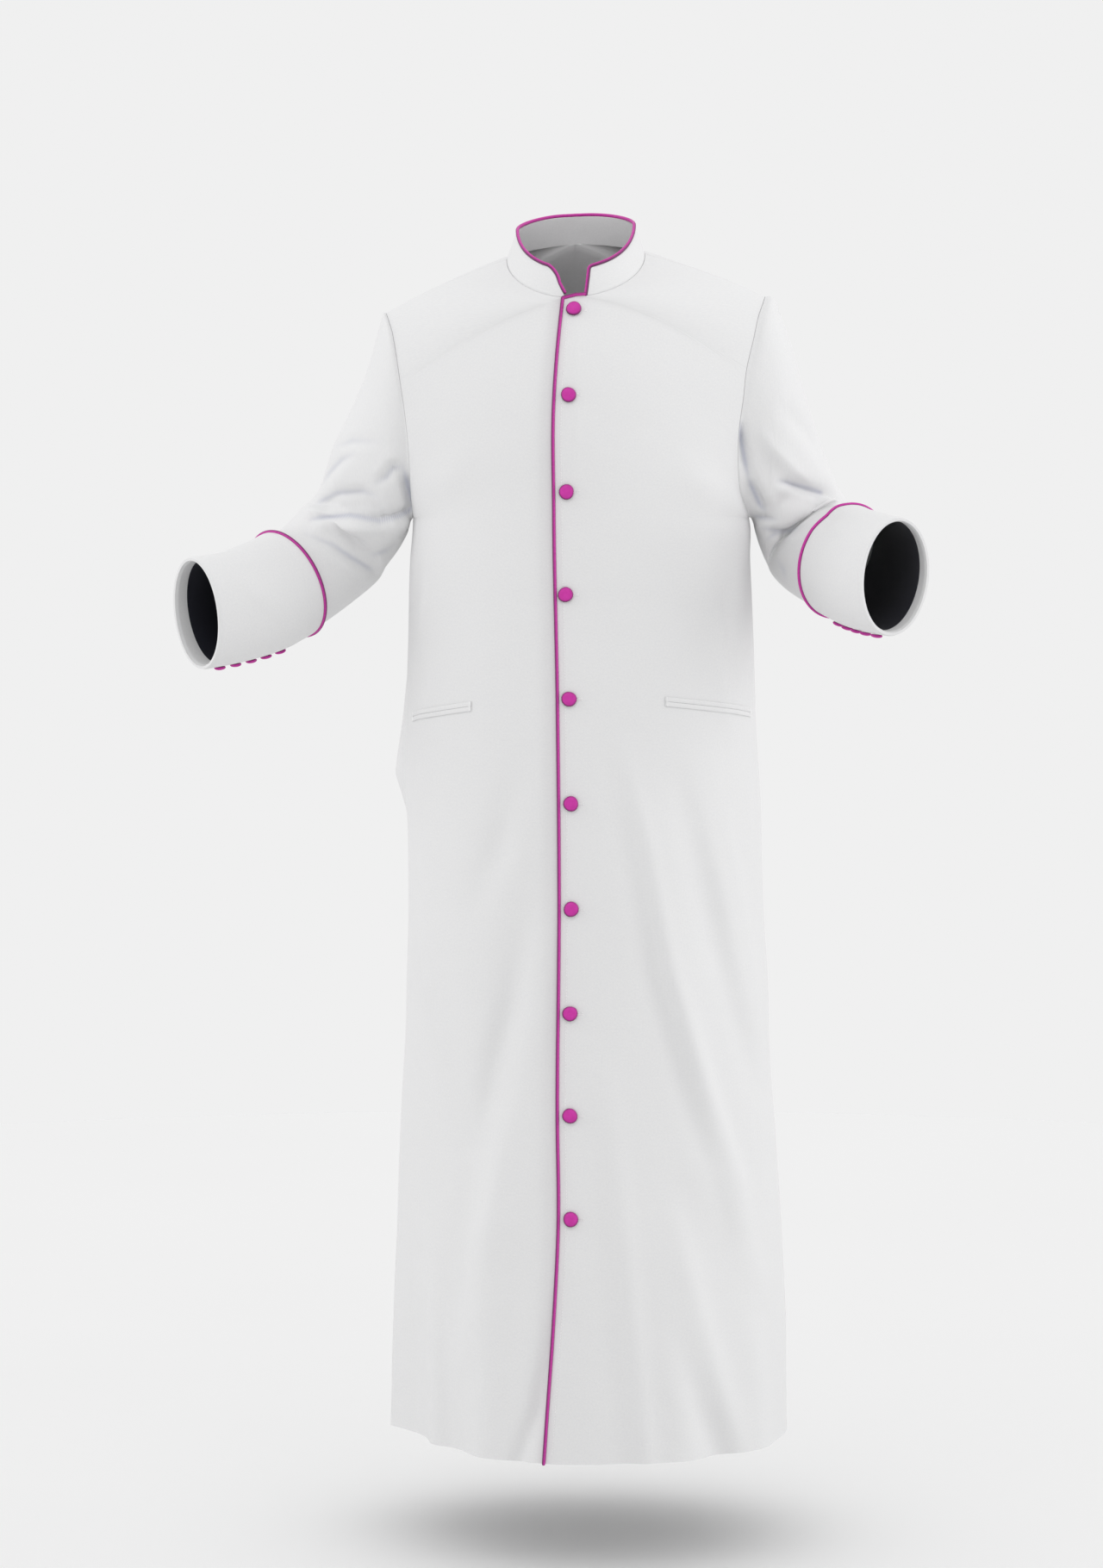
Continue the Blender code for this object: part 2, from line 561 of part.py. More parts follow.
def add_piping(name, path, finish, closed=False):
    """A round piping cord along a path of points."""
    curve = bpy.data.curves.new(name, "CURVE")
    curve.dimensions = "3D"
    curve.bevel_depth = PIPING_RADIUS
    curve.bevel_resolution = (PIPING_SIDES - 4) // 2
    curve.use_fill_caps = not closed
    spline = curve.splines.new("POLY")
    spline.points.add(len(path) - 1)
    for point, place in zip(spline.points, path):
        point.co = (*place, 1.0)
    spline.use_cyclic_u = closed
    curve.materials.append(finish)
    piece = bpy.data.objects.new(name, curve)
    bpy.context.scene.collection.objects.link(piece)
    return piece


def armhole_loop(halves, side):
    """The armhole seam from the shoulder down the front and up the back, with cloth normals and ways out."""
    first = SKIRT_ROWS - 1
    front = halves[(FRONT, side)]
    back = halves[(BACK, side)]
    points = np.concatenate([front.points[first:, -1][::-1], back.points[first + 1:-1, -1]])
    normals = np.concatenate([front.normals[first:, -1][::-1], back.normals[first + 1:-1, -1]])
    beside = np.concatenate([front.points[first:, -2][::-1], back.points[first + 1:-1, -2]])
    along = np.roll(points, -1, axis=0) - np.roll(points, 1, axis=0)
    ways_out = unit(np.cross(along, normals))
    facing = np.sign(np.sum(ways_out * (points - beside), axis=-1).sum())
    return points, normals, ways_out * facing


def loop_turns():
    rows = np.array(CHEST_ROWS)
    return math.pi * np.concatenate([1 - rows[::-1], 1 + rows[1:-1]])


def sleeve_frame(side):
    """Centre, reach towards the outer line and reach towards the front, for each ring of a sleeve."""
    rings = RIGHT_SLEEVE if side == RIGHT else LEFT_SLEEVE
    shoulder, underarm = body(FRONT, side, 1.0, np.array([2.0, 1.0]))
    outer = np.array([shoulder] + [ring.outer for ring in rings])
    inner = np.array([underarm] + [ring.inner for ring in rings])
    depths = np.array([ARMHOLE_HALF_DEPTH] + [ring.half_depth for ring in rings])
    facing = np.radians([0.0] + [ring.facing for ring in rings])
    reach = (outer - inner) / 2
    forward = stack(-side * np.sin(facing), -np.cos(facing), 0.0)
    upright = unit(reach)
    forward = unit(forward - upright * np.sum(forward * upright, axis=-1, keepdims=True))
    return (outer + inner) / 2, reach, forward * depths[:, None]


def sleeve(side, turns, rings, loop):
    """Sleeve points, a row for each ring and a column for each turn; ring 0 is the armhole seam itself."""
    keys = np.arange(len(RIGHT_SLEEVE) + 1.0)
    centre, reach, forward = sleeve_frame(side)
    start = centre[0] + np.cos(turns)[:, None] * reach[0] + np.sin(turns)[:, None] * forward[0]
    centre, reach, forward = (smooth(keys, values, rings)[:, None] for values in (centre, reach, forward))
    points = centre + np.cos(turns)[:, None] * reach + np.sin(turns)[:, None] * forward
    settle = ease(1 - rings / RINGS_TO_SETTLE)[:, None, None]
    return points + settle * (loop - start)


def sleeve_rise(side, turns, rings):
    way = (turns / math.pi + 1) % 2 - 1
    total = np.zeros((len(rings), len(turns)))
    for fold in SLEEVE_FOLDS:
        if fold.side == side:
            for lap in (-2, 0, 2):
                total += rise_near(fold.path, fold.width, way + lap, rings[:, None], SLEEVE_GIRTH,
                                   SLEEVE_RING_LENGTH)
    near_shoulder = ease(rings / RINGS_BEFORE_FOLDS)
    near_cuff = ease((LAST_FOLD_RING - rings) / FOLD_FADE_RINGS)
    return total * near_shoulder[:, None] * near_cuff[:, None]


def sleeve_surface(side, turns, rings, loop):
    """Sleeve points with their folds, and the outward normal at each."""
    rings = np.asarray(rings, float)

    def folded(at):
        at = np.clip(at, 0, len(RIGHT_SLEEVE))
        grid = sleeve(side, turns, at, loop)
        across = np.roll(grid, -1, axis=1) - np.roll(grid, 1, axis=1)
        along = sleeve(side, turns, at + RING_STEP, loop) - sleeve(side, turns, at - RING_STEP, loop)
        normals = unit(np.cross(across, along))
        normals *= np.sign(np.sum(normals * (grid - grid.mean(axis=1, keepdims=True))))
        return grid + normals * sleeve_rise(side, turns, at)[..., None]

    grid = folded(rings)
    across = np.roll(grid, -1, axis=1) - np.roll(grid, 1, axis=1)
    along = folded(rings + RING_STEP) - folded(rings - RING_STEP)
    normals = unit(np.cross(across, along))
    normals *= np.sign(np.sum(normals * (grid - grid.mean(axis=1, keepdims=True))))
    return grid, normals


def ring_round(grid):
    return np.concatenate([grid, grid[:, :1]], axis=1)


def tube_turn(grid):
    wide = ring_round(grid)
    faces = np.cross(wide[1:, 1:] - wide[:-1, :-1], wide[1:, :-1] - wide[:-1, 1:])
    outward = wide[1:, 1:] - grid.mean(axis=1, keepdims=True)[1:]
    return np.sign(np.sum(faces * outward))


def add_tube(name, outer, inner, finish):
    points, faces = wall_mesh([(ring_round(outer), ring_round(inner))], [tube_turn(outer[:2])])
    return add_mesh(name, points, faces, finish)


def inner_line_column(turns):
    return int(np.argmin(np.abs(turns - math.pi)))


def sleeve_half(outer, inner, first, last):
    """Outer and inner columns of one half of a sleeve, its long edges drawn back from the other half."""
    across = unit(np.roll(outer, -1, axis=1) - np.roll(outer, 1, axis=1))
    columns = np.arange(first, last + 1) % outer.shape[1]
    half = []
    for grid in (outer, inner):
        strip = grid[:, columns]
        strip[:, 0] += GAP / 2 * across[:, columns[0]]
        strip[:, -1] -= GAP / 2 * across[:, columns[-1]]
        half.append(strip)
    return half


def lifted(side, turns, loop, rings, lifts):
    """Points lifted off the sleeve's surface, at a ring and a lift for each row, and the normals there."""
    grid, normals = sleeve_surface(side, turns, rings, loop)
    return grid + normals * np.asarray(lifts)[:, None, None], normals


def build_sleeve(halves, side, finishes):
    word = "right" if side == RIGHT else "left"
    turns = loop_turns()
    loop, loop_normals, ways_out = armhole_loop(halves, side)
    grid, normals = sleeve_surface(side, turns, SLEEVE_RINGS, loop)
    inner = grid - WALL * normals
    grid[0] = loop + GAP * ways_out
    inner[0] = grid[0] - WALL * loop_normals
    first_seam, second_seam = SLEEVE_SEAMS
    columns = (("front", first_seam, second_seam), ("back", second_seam, first_seam + len(turns)))
    for half, first, last in columns:
        points, faces = wall_mesh([sleeve_half(grid, inner, first, last)], [tube_turn(grid[:2])])
        add_mesh(f"sleeve_{word}_{half}", points, faces, finishes["white"])

    outer, _ = lifted(side, turns, loop, [row.outer_ring for row in CUFF_ROWS],
                      [row.outer_lift for row in CUFF_ROWS])
    inner, _ = lifted(side, turns, loop, [row.inner_ring for row in CUFF_ROWS],
                      [row.inner_lift for row in CUFF_ROWS])
    add_tube(f"cuff_{word}", outer, inner, finishes["white"])

    lining_lift = [-WALL - GAP] * len(LINING_ROWS)
    outer, normals = lifted(side, turns, loop, LINING_ROWS, lining_lift)
    add_tube(f"cuff_lining_{word}", outer, outer - LINING_WALL * normals, finishes["lining"])

    piping_lift = GAP + PIPING_RADIUS + CUFF_PIPING_CLEARANCE
    edge, normals = lifted(side, turns, loop, [CUFF_ROWS[0].outer_ring], [piping_lift])
    next_edge, _ = lifted(side, turns, loop, [CUFF_ROWS[0].outer_ring - RING_NUDGE], [piping_lift])
    away = unit(next_edge[0] - edge[0])
    path = edge[0] + (PIPING_RADIUS + GAP) * away
    add_piping(f"cuff_piping_{word}", path, finishes["magenta"], closed=True)

    build_cuff_buttons(side, word, turns, loop, finishes["magenta"])


def build_cuff_buttons(side, word, turns, loop, finish):
    """Five buttons in a row along the inner line of the cuff."""
    inner_line = inner_line_column(turns)
    rings = np.linspace(CUFF_ROWS[-4].outer_ring, CUFF_ROWS[0].outer_ring, 200)
    grid, normals = lifted(side, turns, loop, rings, np.full(len(rings), WALL + CUFF_BUTTON_LIFT))
    line = grid[:, inner_line]
    distance = np.concatenate([[0.0], np.cumsum(np.linalg.norm(np.diff(line, axis=0), axis=1))])
    for number in range(CUFF_BUTTON_COUNT):
        place = int(np.searchsorted(distance, CUFF_BUTTON_FIRST + number * CUFF_BUTTON_STEP))
        add_button(f"cuff_button_{word}_{number + 1}", line[place], normals[place, inner_line],
                   CUFF_BUTTON_RADIUS, CUFF_BUTTON_SIDES, finish)


def add_button(name, place, normal, radius, sides, finish):
    """A domed, cloth-covered button standing on its flat back at a place, facing along the normal."""
    shape = bmesh.new()
    points = [shape.verts.new((radius * across, 0.0, radius * rise)) for across, rise in BUTTON_PROFILE]
    lines = [shape.edges.new(pair) for pair in zip(points[:-1], points[1:])]
    bmesh.ops.spin(shape, geom=points + lines, cent=(0, 0, 0), axis=(0, 0, 1), angle=2 * math.pi,
                   steps=sides, use_duplicate=False)
    bmesh.ops.remove_doubles(shape, verts=shape.verts, dist=0.00005)
    bmesh.ops.recalc_face_normals(shape, faces=shape.faces)
    mesh = bpy.data.meshes.new(name)
    shape.to_mesh(mesh)
    shape.free()
    mesh.shade_smooth()
    mesh.set_sharp_from_angle(angle=math.radians(50))
    mesh.materials.append(finish)
    piece = bpy.data.objects.new(name, mesh)
    piece.location = place
    piece.rotation_mode = "QUATERNION"
    piece.rotation_quaternion = Vector((0, 0, 1)).rotation_difference(Vector(normal))
    bpy.context.scene.collection.objects.link(piece)
    return piece


def neck_row_index():
    return SKIRT_ROWS - 1 + CHEST_ROWS.index(NECK_ROW)


def front_grids(halves):
    """The fronts as point grids with normals: the left one laps over, the right one dips under it."""
    right = halves[(FRONT, RIGHT)]
    left = halves[(FRONT, LEFT)]
    above = neck_row_index() + 1
    lap = right.points[:, 1:2].copy()
    lap[above:] = np.nan
    left_points = np.concatenate([lap, left.points], axis=1)
    left_normals = np.concatenate([right.normals[:, 1:2], left.normals], axis=1)
    under = left.points[:, 1:2].copy()
    under[above:] = np.nan
    right_points = np.concatenate([under, right.points], axis=1)
    right_normals = np.concatenate([left.normals[:, 1:2], right.normals], axis=1)
    columns = np.zeros(right_points.shape[1])
    columns[:4] = 1.0
    rows = np.ones(right_points.shape[0])
    rows[above + 1] = 0.6
    rows[above + 2:] = 0.0
    right_points -= right_normals * (UNDERLAP_DROP * rows[:, None] * columns)[..., None]
    return (left_points, left_normals), (right_points, right_normals)


def build_body(halves, finish):
    (left, left_normals), (right, right_normals) = front_grids(halves)
    left = trim_seams(left)
    right = trim_seams(right)
    for name, grid, normals, side in (
        ("front_left", left, left_normals, LEFT),
        ("front_right", right, right_normals, RIGHT),
    ):
        points, faces = wall_mesh([(grid, grid - WALL * normals)], [-FRONT * side])
        add_mesh(name, points, faces, finish)
    pairs = []
    for side in (RIGHT, LEFT):
        half = halves[(BACK, side)]
        grid = trim_seams(half.points)
        pairs.append((grid, grid - WALL * half.normals))
    points, faces = wall_mesh(pairs, [-BACK * RIGHT, -BACK * LEFT])
    add_mesh("back", points, faces, finish)
    return (left, left_normals), (right, right_normals)


def offset_path(points, normals, distance, away_from):
    """A path beside an edge, kept at one distance from it round corners, on the side away from a point."""
    steps = unit(np.diff(points, axis=0))
    across = unit(np.cross(np.concatenate([steps[:1], steps]), normals))
    across_after = unit(np.cross(np.concatenate([steps, steps[-1:]]), normals))
    middle = unit(across + across_after)
    stretch = 1 / np.clip(np.sum(middle * across, axis=-1, keepdims=True), 0.6, 1.0)
    sign = np.sign(np.sum(middle * (points - away_from)))
    return points + sign * distance * stretch * middle


def build_front_piping(left, left_normals, finish):
    neck = neck_row_index()
    path = list(left[:neck + 1, 0])
    normals = list(left_normals[:neck + 1, 0])
    share = (FRONT_PIPING_STOP - left[neck, 1, 0]) / (left[neck + 1, 1, 0] - left[neck, 1, 0])
    path += [left[neck, 1], left[neck, 1] + share * (left[neck + 1, 1] - left[neck, 1])]
    normals += [left_normals[neck, 1], left_normals[neck, 1]]
    path = np.array(path)
    normals = np.array(normals)
    beside = path + TOWARDS_BUTTONS
    path = offset_path(path, normals, PIPING_RADIUS + GAP, beside) + FRONT_PIPING_LIFT * normals
    corner = path[neck]
    before = corner + PIPING_CORNER_CUT * unit(path[neck - 1] - corner)
    after = corner + PIPING_CORNER_CUT * unit(path[neck + 1] - corner)
    add_piping("front_piping", np.concatenate([path[:neck], [before, after], path[neck + 1:]]), finish)


def neckline(halves, right):
    """The neck seam from the right collar end round the back to the left end, with normals and ways up."""
    start = SKIRT_ROWS - 1 + CHEST_ROWS.index(COLLAR_START_ROW)
    neck = neck_row_index()
    right_points, right_normals = right
    pieces = (
        (right_points[start:, 1:], right_normals[start:, 1:], 1),
        (halves[(BACK, RIGHT)].points[neck:-1], halves[(BACK, RIGHT)].normals[neck:-1], -1),
        (halves[(BACK, LEFT)].points[start:-1], halves[(BACK, LEFT)].normals[start:-1], 1),
        (halves[(FRONT, LEFT)].points[start:], halves[(FRONT, LEFT)].normals[start:], -1),
    )
    points = np.concatenate([grid[::step, 0] for grid, _, step in pieces])
    beside = np.concatenate([grid[::step, 1] for grid, _, step in pieces])
    normals = np.concatenate([grid[::step, 0] for _, grid, step in pieces])
    up = edge_directions(points, normals)
    up *= np.sign(np.sum(up * (points - beside)))
    return points, normals, up


def collar_grids(halves, right):
    """Outer and inner points of the collar in three rows, its upright ends worked out from tables."""
    points, normals, up = neckline(halves, right)
    arc = np.concatenate([[0.0], np.cumsum(np.linalg.norm(np.diff(points, axis=0), axis=1))])
    length = arc[-1]
    first = RIGHT_COLLAR_END[-1].base_along + COLLAR_END_MARGIN
    last = length - LEFT_COLLAR_END[-1].base_along - COLLAR_END_MARGIN
    inside = arc[(arc > first) & (arc < last)]
    rows = [tuple(end) for end in RIGHT_COLLAR_END]
    for place in inside:
        right_lean = RIGHT_COLLAR_END[-1].top_along - RIGHT_COLLAR_END[-1].base_along
        left_lean = LEFT_COLLAR_END[-1].top_along - LEFT_COLLAR_END[-1].base_along
        shift = right_lean * max(0.0, 1 - place / COLLAR_LEAN_LENGTH)
        shift -= left_lean * max(0.0, 1 - (length - place) / COLLAR_LEAN_LENGTH)
        rows.append((place, place + shift, COLLAR_HEIGHT))
    rows += [(length - end.base_along, length - end.top_along, end.height) for end in LEFT_COLLAR_END[::-1]]
    base_along, top_along, heights = np.array(rows).T

    def at(values, places):
        return np.stack([np.interp(places, arc, values[:, axis]) for axis in range(3)], axis=-1)

    base = at(points, base_along)
    base_normals = unit(at(normals, base_along))
    outer_base = base + COLLAR_SEAM_GAP * unit(at(up, base_along))
    inner_base = outer_base - WALL * base_normals
    top = at(points, top_along)
    outward = unit(stack(top[:, 0] / NECK_HALF_WIDTH**2, top[:, 1] / NECK_HALF_WIDTH**2, 0.0))
    sideways = np.abs(outward[:, :1])
    lean = COLLAR_FRONT_LEAN + (COLLAR_SIDE_LEAN - COLLAR_FRONT_LEAN) * sideways
    outer_top = top + stack(0.0, 0.0, heights) - lean * (heights / COLLAR_HEIGHT)[:, None] * outward
    inner_top = outer_top - WALL * outward
    outer = np.stack([outer_base, (outer_base + outer_top) / 2, outer_top])
    inner = np.stack([inner_base, (inner_base + inner_top) / 2, inner_top])
    return outer, inner


def build_collar(halves, right, finishes):
    outer, inner = collar_grids(halves, right)
    points, faces = wall_mesh([(outer, inner)], [-1])
    add_mesh("collar", points, faces, finishes["white"])
    middle = (outer + inner) / 2
    path = np.concatenate([middle[:, 0], middle[-1, 1:-1], middle[::-1, -1]])
    thickness = unit(outer - inner)
    normals = np.concatenate([thickness[:, 0], thickness[-1, 1:-1], thickness[::-1, -1]])
    path = offset_path(path, normals, PIPING_RADIUS + GAP, path - np.array([0.0, 0.0, 0.02]))
    first = path[0] + COLLAR_PIPING_START * unit(path[1] - path[0])
    last = path[-1] + GAP * unit(path[-2] - path[-1])
    add_piping("collar_piping", np.concatenate([[first], path[1:-1], [last]]), finishes["magenta"])


def on_panel(grid, rows, columns, row, column):
    """A point of a panel's faces at any row and column value, from the four grid points round it."""
    i = int(np.clip(np.searchsorted(rows, row, side="right") - 1, 0, len(rows) - 2))
    j = int(np.clip(np.searchsorted(columns, column, side="right") - 1, 0, len(columns) - 2))
    up = (row - rows[i]) / (rows[i + 1] - rows[i])
    over = (column - columns[j]) / (columns[j + 1] - columns[j])
    low = grid[i, j] * (1 - over) + grid[i, j + 1] * over
    high = grid[i + 1, j] * (1 - over) + grid[i + 1, j + 1] * over
    return low * (1 - up) + high * up


def build_front_buttons(left, left_normals, finish):
    """Ten buttons through the left front, between its edge and the centre line."""
    rows = left[:neck_row_index() + 1, 1, 2]
    for number, button in enumerate(FRONT_BUTTONS, start=1):
        edge = np.interp(button.height, rows, left[:len(rows), 0, 0])
        share = (button.across - edge) / -edge
        place = on_panel(left, rows, np.array([0.0, 1.0]), button.height, share)
        normal = unit(on_panel(left_normals, rows, np.array([0.0, 1.0]), button.height, share))
        place = place + FRONT_BUTTON_LIFT * normal
        add_button(f"front_button_{number:02d}", place, normal, FRONT_BUTTON_RADIUS, FRONT_BUTTON_SIDES,
                   finish)


def build_pockets(halves, finish):
    """Two lips for each pocket, laid on the panel's own points and moved out."""
    rows = body_rows()
    for pocket in POCKETS:
        side = RIGHT if pocket.side == "right" else LEFT
        half = halves[(FRONT, side)]
        columns = half.columns[0].copy()
        level = int(np.argmin(np.abs(half.points[:SKIRT_ROWS, 0, 2] - POCKET_LEVEL)))
        columns[1:4] = half.columns[level][1:4]
        heights = np.array([pocket.inner_height, pocket.outer_height])
        shares = share_at(FRONT, side, row_at(heights), np.array([pocket.inner_across, pocket.outer_across]))
        between = columns[(columns > shares[0] + 0.01) & (columns < shares[1] - 0.01)]
        places = np.concatenate([[shares[0]], between, [shares[1]]])
        middle = np.interp(places, shares, heights)
        for lip, low, high in (("upper", GAP / 2, WELT_WIDTH), ("lower", -WELT_WIDTH, -GAP / 2)):
            outer = []
            inner = []
            for offset in (low, high):
                pairs = [(row_at(height + offset), place) for height, place in zip(middle, places)]
                points = np.array([on_panel(half.points, rows, columns, *pair) for pair in pairs])
                normals = unit(np.array([on_panel(half.normals, rows, columns, *pair) for pair in pairs]))
                inner.append(points + WELT_LIFT * normals)
                outer.append(points + (WELT_LIFT + WELT_WALL) * normals)
            points, faces = wall_mesh([(np.array(outer), np.array(inner))], [-FRONT * side])
            add_mesh(f"pocket_{pocket.side}_{lip}_welt", points, faces, finish)


def main():
    for old in list(bpy.data.objects):
        bpy.data.objects.remove(old)
    finishes = {
        "white": material("white_robe_cloth", (0.80, 0.80, 0.80), 0.85, 0.2),
        "magenta": material("magenta_satin", (0.57, 0.035, 0.33), 0.45, 0.1),
        "lining": material("dark_navy_lining", (0.012, 0.014, 0.03), 0.55),
    }
    halves = body_halves()
    left, right = build_body(halves, finishes["white"])
    build_front_piping(*left, finishes["magenta"])
    build_collar(halves, right, finishes)
    build_front_buttons(*left, finishes["magenta"])
    build_pockets(halves, finishes["white"])
    for side in (RIGHT, LEFT):
        build_sleeve(halves, side, finishes)


main()
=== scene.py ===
"""Looks of a long white clergy robe, hollow as if worn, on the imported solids.

Metres, +Z up. The robe faces -Y and its wearer's left is at +X.
The tables of the cloth's form are those of the solids.
"""

import math
from collections import namedtuple

import bmesh
import bpy
import numpy as np
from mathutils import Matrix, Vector


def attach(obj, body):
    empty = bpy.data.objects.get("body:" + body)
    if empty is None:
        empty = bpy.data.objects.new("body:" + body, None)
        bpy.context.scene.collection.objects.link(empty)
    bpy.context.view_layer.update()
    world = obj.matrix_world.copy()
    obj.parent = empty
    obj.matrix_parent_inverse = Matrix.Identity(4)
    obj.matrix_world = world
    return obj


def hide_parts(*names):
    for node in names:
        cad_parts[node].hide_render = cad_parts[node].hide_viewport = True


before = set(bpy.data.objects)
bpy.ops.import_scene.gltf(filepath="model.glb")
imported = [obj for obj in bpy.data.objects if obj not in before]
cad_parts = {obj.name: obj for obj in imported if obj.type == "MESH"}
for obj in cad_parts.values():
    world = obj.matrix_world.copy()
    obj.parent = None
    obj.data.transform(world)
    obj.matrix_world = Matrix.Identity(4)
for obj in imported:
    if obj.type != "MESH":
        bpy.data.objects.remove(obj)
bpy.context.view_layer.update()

# Cloth and trim
WALL = 0.0016
LINING_WALL = 0.0010
GAP = 0.0003
PIPING_RADIUS = 0.0020

# Body of the robe
HEM_HEIGHT = -1.393
UNDERARM_HEIGHT = -0.306
NECK_ROW = 0.60
COLLAR_START_ROW = 0.642
CENTRE_HANDLE = 0.60
SIDE_HANDLE = 0.56
SHOULDER_CROWN = 0.005
SHOULDER_ROLL = 0.0426

# Front, back and side depths from hem to neck, worn over a general figure
Section = namedtuple("Section", "height right left front back")
SECTIONS = [Section(*row) for row in (
    (-1.393, 0.221, 0.254, 0.205, 0.185),
    (-1.284, 0.219, 0.252, 0.199, 0.176),
    (-1.169, 0.214, 0.247, 0.190, 0.166),
    (-1.044, 0.209, 0.239, 0.179, 0.155),
    (-0.920, 0.203, 0.231, 0.169, 0.145),
    (-0.848, 0.201, 0.228, 0.164, 0.140),
    (-0.765, 0.198, 0.223, 0.159, 0.134),
    (-0.693, 0.199, 0.221, 0.155, 0.128),
    (-0.611, 0.202, 0.218, 0.150, 0.113),
    (-0.540, 0.201, 0.214, 0.146, 0.105),
    (-0.468, 0.199, 0.211, 0.141, 0.109),
    (-0.407, 0.197, 0.208, 0.136, 0.118),
    (-0.356, 0.195, 0.206, 0.133, 0.123),
    (-0.306, 0.1915, 0.2045, 0.130, 0.127),
)]
# Low down, the wearer's right front falls back in a flat slant towards its side seam
Slant = namedtuple("Slant", "height lean handle")
RIGHT_SLANTS = [Slant(*row) for row in (
    (-1.393, 0.066, 0.34),
    (-1.150, 0.045, 0.42),
    (-0.950, 0.020, 0.51),
    (-0.800, 0.000, SIDE_HANDLE),
)]
Depth = namedtuple("Depth", "height depth")
CHEST_DEPTHS = [Depth(*row) for row in (
    (-0.306, 0.130),
    (-0.200, 0.127),
    (-0.120, 0.114),
    (-0.050, 0.090),
)]
BACK_DEPTHS = [Depth(*row) for row in (
    (-0.306, 0.127),
    (-0.200, 0.130),
    (-0.100, 0.119),
    (-0.030, 0.094),
    (0.018, 0.066),
)]

# Neck and armholes
NECK_HALF_WIDTH = 0.0816
NECK_SHOULDER_HEIGHT = 0.0005
SHOULDER_POINT_DEPTH = 0.010
SHOULDER_POINT_HEIGHT = -0.0555
ARMHOLE_HALF_DEPTH = 0.066
Armhole = namedtuple("Armhole", "height right left")
ARMHOLES = [Armhole(*row) for row in (
    (-0.3060, 0.1915, 0.2045),
    (-0.2750, 0.1932, 0.1922),
    (-0.2450, 0.1948, 0.1890),
    (-0.2050, 0.1975, 0.1900),
    (-0.1730, 0.2008, 0.1947),
    (-0.1410, 0.2052, 0.1986),
    (-0.1050, 0.2105, 0.2076),
    (-0.0800, 0.2152, 0.2135),
    (-0.0555, 0.2234, 0.2229),
)]

# Front closing: the left front's edge, which laps over to the wearer's right
EdgePoint = namedtuple("EdgePoint", "height reach")
FRONT_EDGE = [EdgePoint(*row) for row in (
    (-1.393, -0.0353),
    (-1.323, -0.0306),
    (-1.253, -0.0256),
    (-1.112, -0.0186),
    (-0.992, -0.0197),
    (-0.753, -0.0177),
    (-0.513, -0.0197),
    (-0.304, -0.0237),
    (-0.167, -0.0237),
    (-0.100, -0.0190),
    (-0.050, -0.0137),
)]
UNDERLAP_ROW = 0.05
UNDERLAP_DROP = WALL + GAP
LAP_SHARES = (0.022, 0.080)

# Sleeves, as rings from the outer line down to the inner line, each facing so many degrees inwards
Ring = namedtuple("Ring", "outer inner half_depth facing")
RIGHT_SLEEVE = [Ring(*row) for row in (
    ((-0.2275, 0.006, -0.0660), (-0.1935, 0.003, -0.3075), 0.066, 0),
    ((-0.2330, 0.008, -0.0850), (-0.1955, 0.005, -0.3105), 0.067, 0),
    ((-0.2444, 0.012, -0.1266), (-0.1975, 0.008, -0.3170), 0.067, 0),
    ((-0.2650, 0.018, -0.1780), (-0.2010, 0.014, -0.3270), 0.066, 0),
    ((-0.2875, 0.026, -0.2230), (-0.2110, 0.022, -0.3440), 0.064, 5),
    ((-0.3052, 0.034, -0.2728), (-0.2260, 0.034, -0.3640), 0.063, 12),
    ((-0.3292, 0.038, -0.2974), (-0.2400, 0.048, -0.3850), 0.062, 30),
    ((-0.3462, 0.013, -0.3176), (-0.2760, 0.033, -0.4140), 0.059, 42),
    ((-0.3621, -0.022, -0.3263), (-0.3205, 0.000, -0.4428), 0.053, 48),
    ((-0.3815, -0.050, -0.3360), (-0.3480, -0.026, -0.4590), 0.049, 50),
    ((-0.4100, -0.085, -0.3470), (-0.3880, -0.060, -0.4710), 0.043, 50),
    ((-0.4442, -0.120, -0.3519), (-0.4359, -0.097, -0.4800), 0.036, 50),
)]
LEFT_SLEEVE = [Ring(*row) for row in (
    ((0.2330, 0.006, -0.0490), (0.2065, 0.003, -0.3060), 0.066, 0),
    ((0.2420, 0.008, -0.0700), (0.2085, 0.005, -0.3085), 0.067, 0),
    ((0.2550, 0.012, -0.1060), (0.2105, 0.008, -0.3140), 0.067, 0),
    ((0.2710, 0.018, -0.1630), (0.2130, 0.012, -0.3240), 0.066, 0),
    ((0.2910, 0.025, -0.2210), (0.2190, 0.020, -0.3420), 0.064, 5),
    ((0.3090, 0.026, -0.2650), (0.2290, 0.034, -0.3620), 0.062, 20),
    ((0.3220, 0.012, -0.2910), (0.2440, 0.052, -0.3800), 0.060, 45),
    ((0.3260, -0.020, -0.2930), (0.2640, 0.020, -0.3990), 0.057, 62),
    ((0.3310, -0.058, -0.2948), (0.2950, -0.050, -0.4180), 0.050, 70),
    ((0.3430, -0.096, -0.2990), (0.3110, -0.090, -0.4280), 0.047, 72),
    ((0.3560, -0.138, -0.3030), (0.3310, -0.134, -0.4340), 0.044, 72),
    ((0.3690, -0.185, -0.3060), (0.3580, -0.180, -0.4380), 0.041, 72),
)]
RINGS_TO_SETTLE = 3.0
RING_STEP = 0.02
SLEEVE_RING_COUNT = 280
SLEEVE_RINGS = np.linspace(0.0, 11.90, SLEEVE_RING_COUNT)

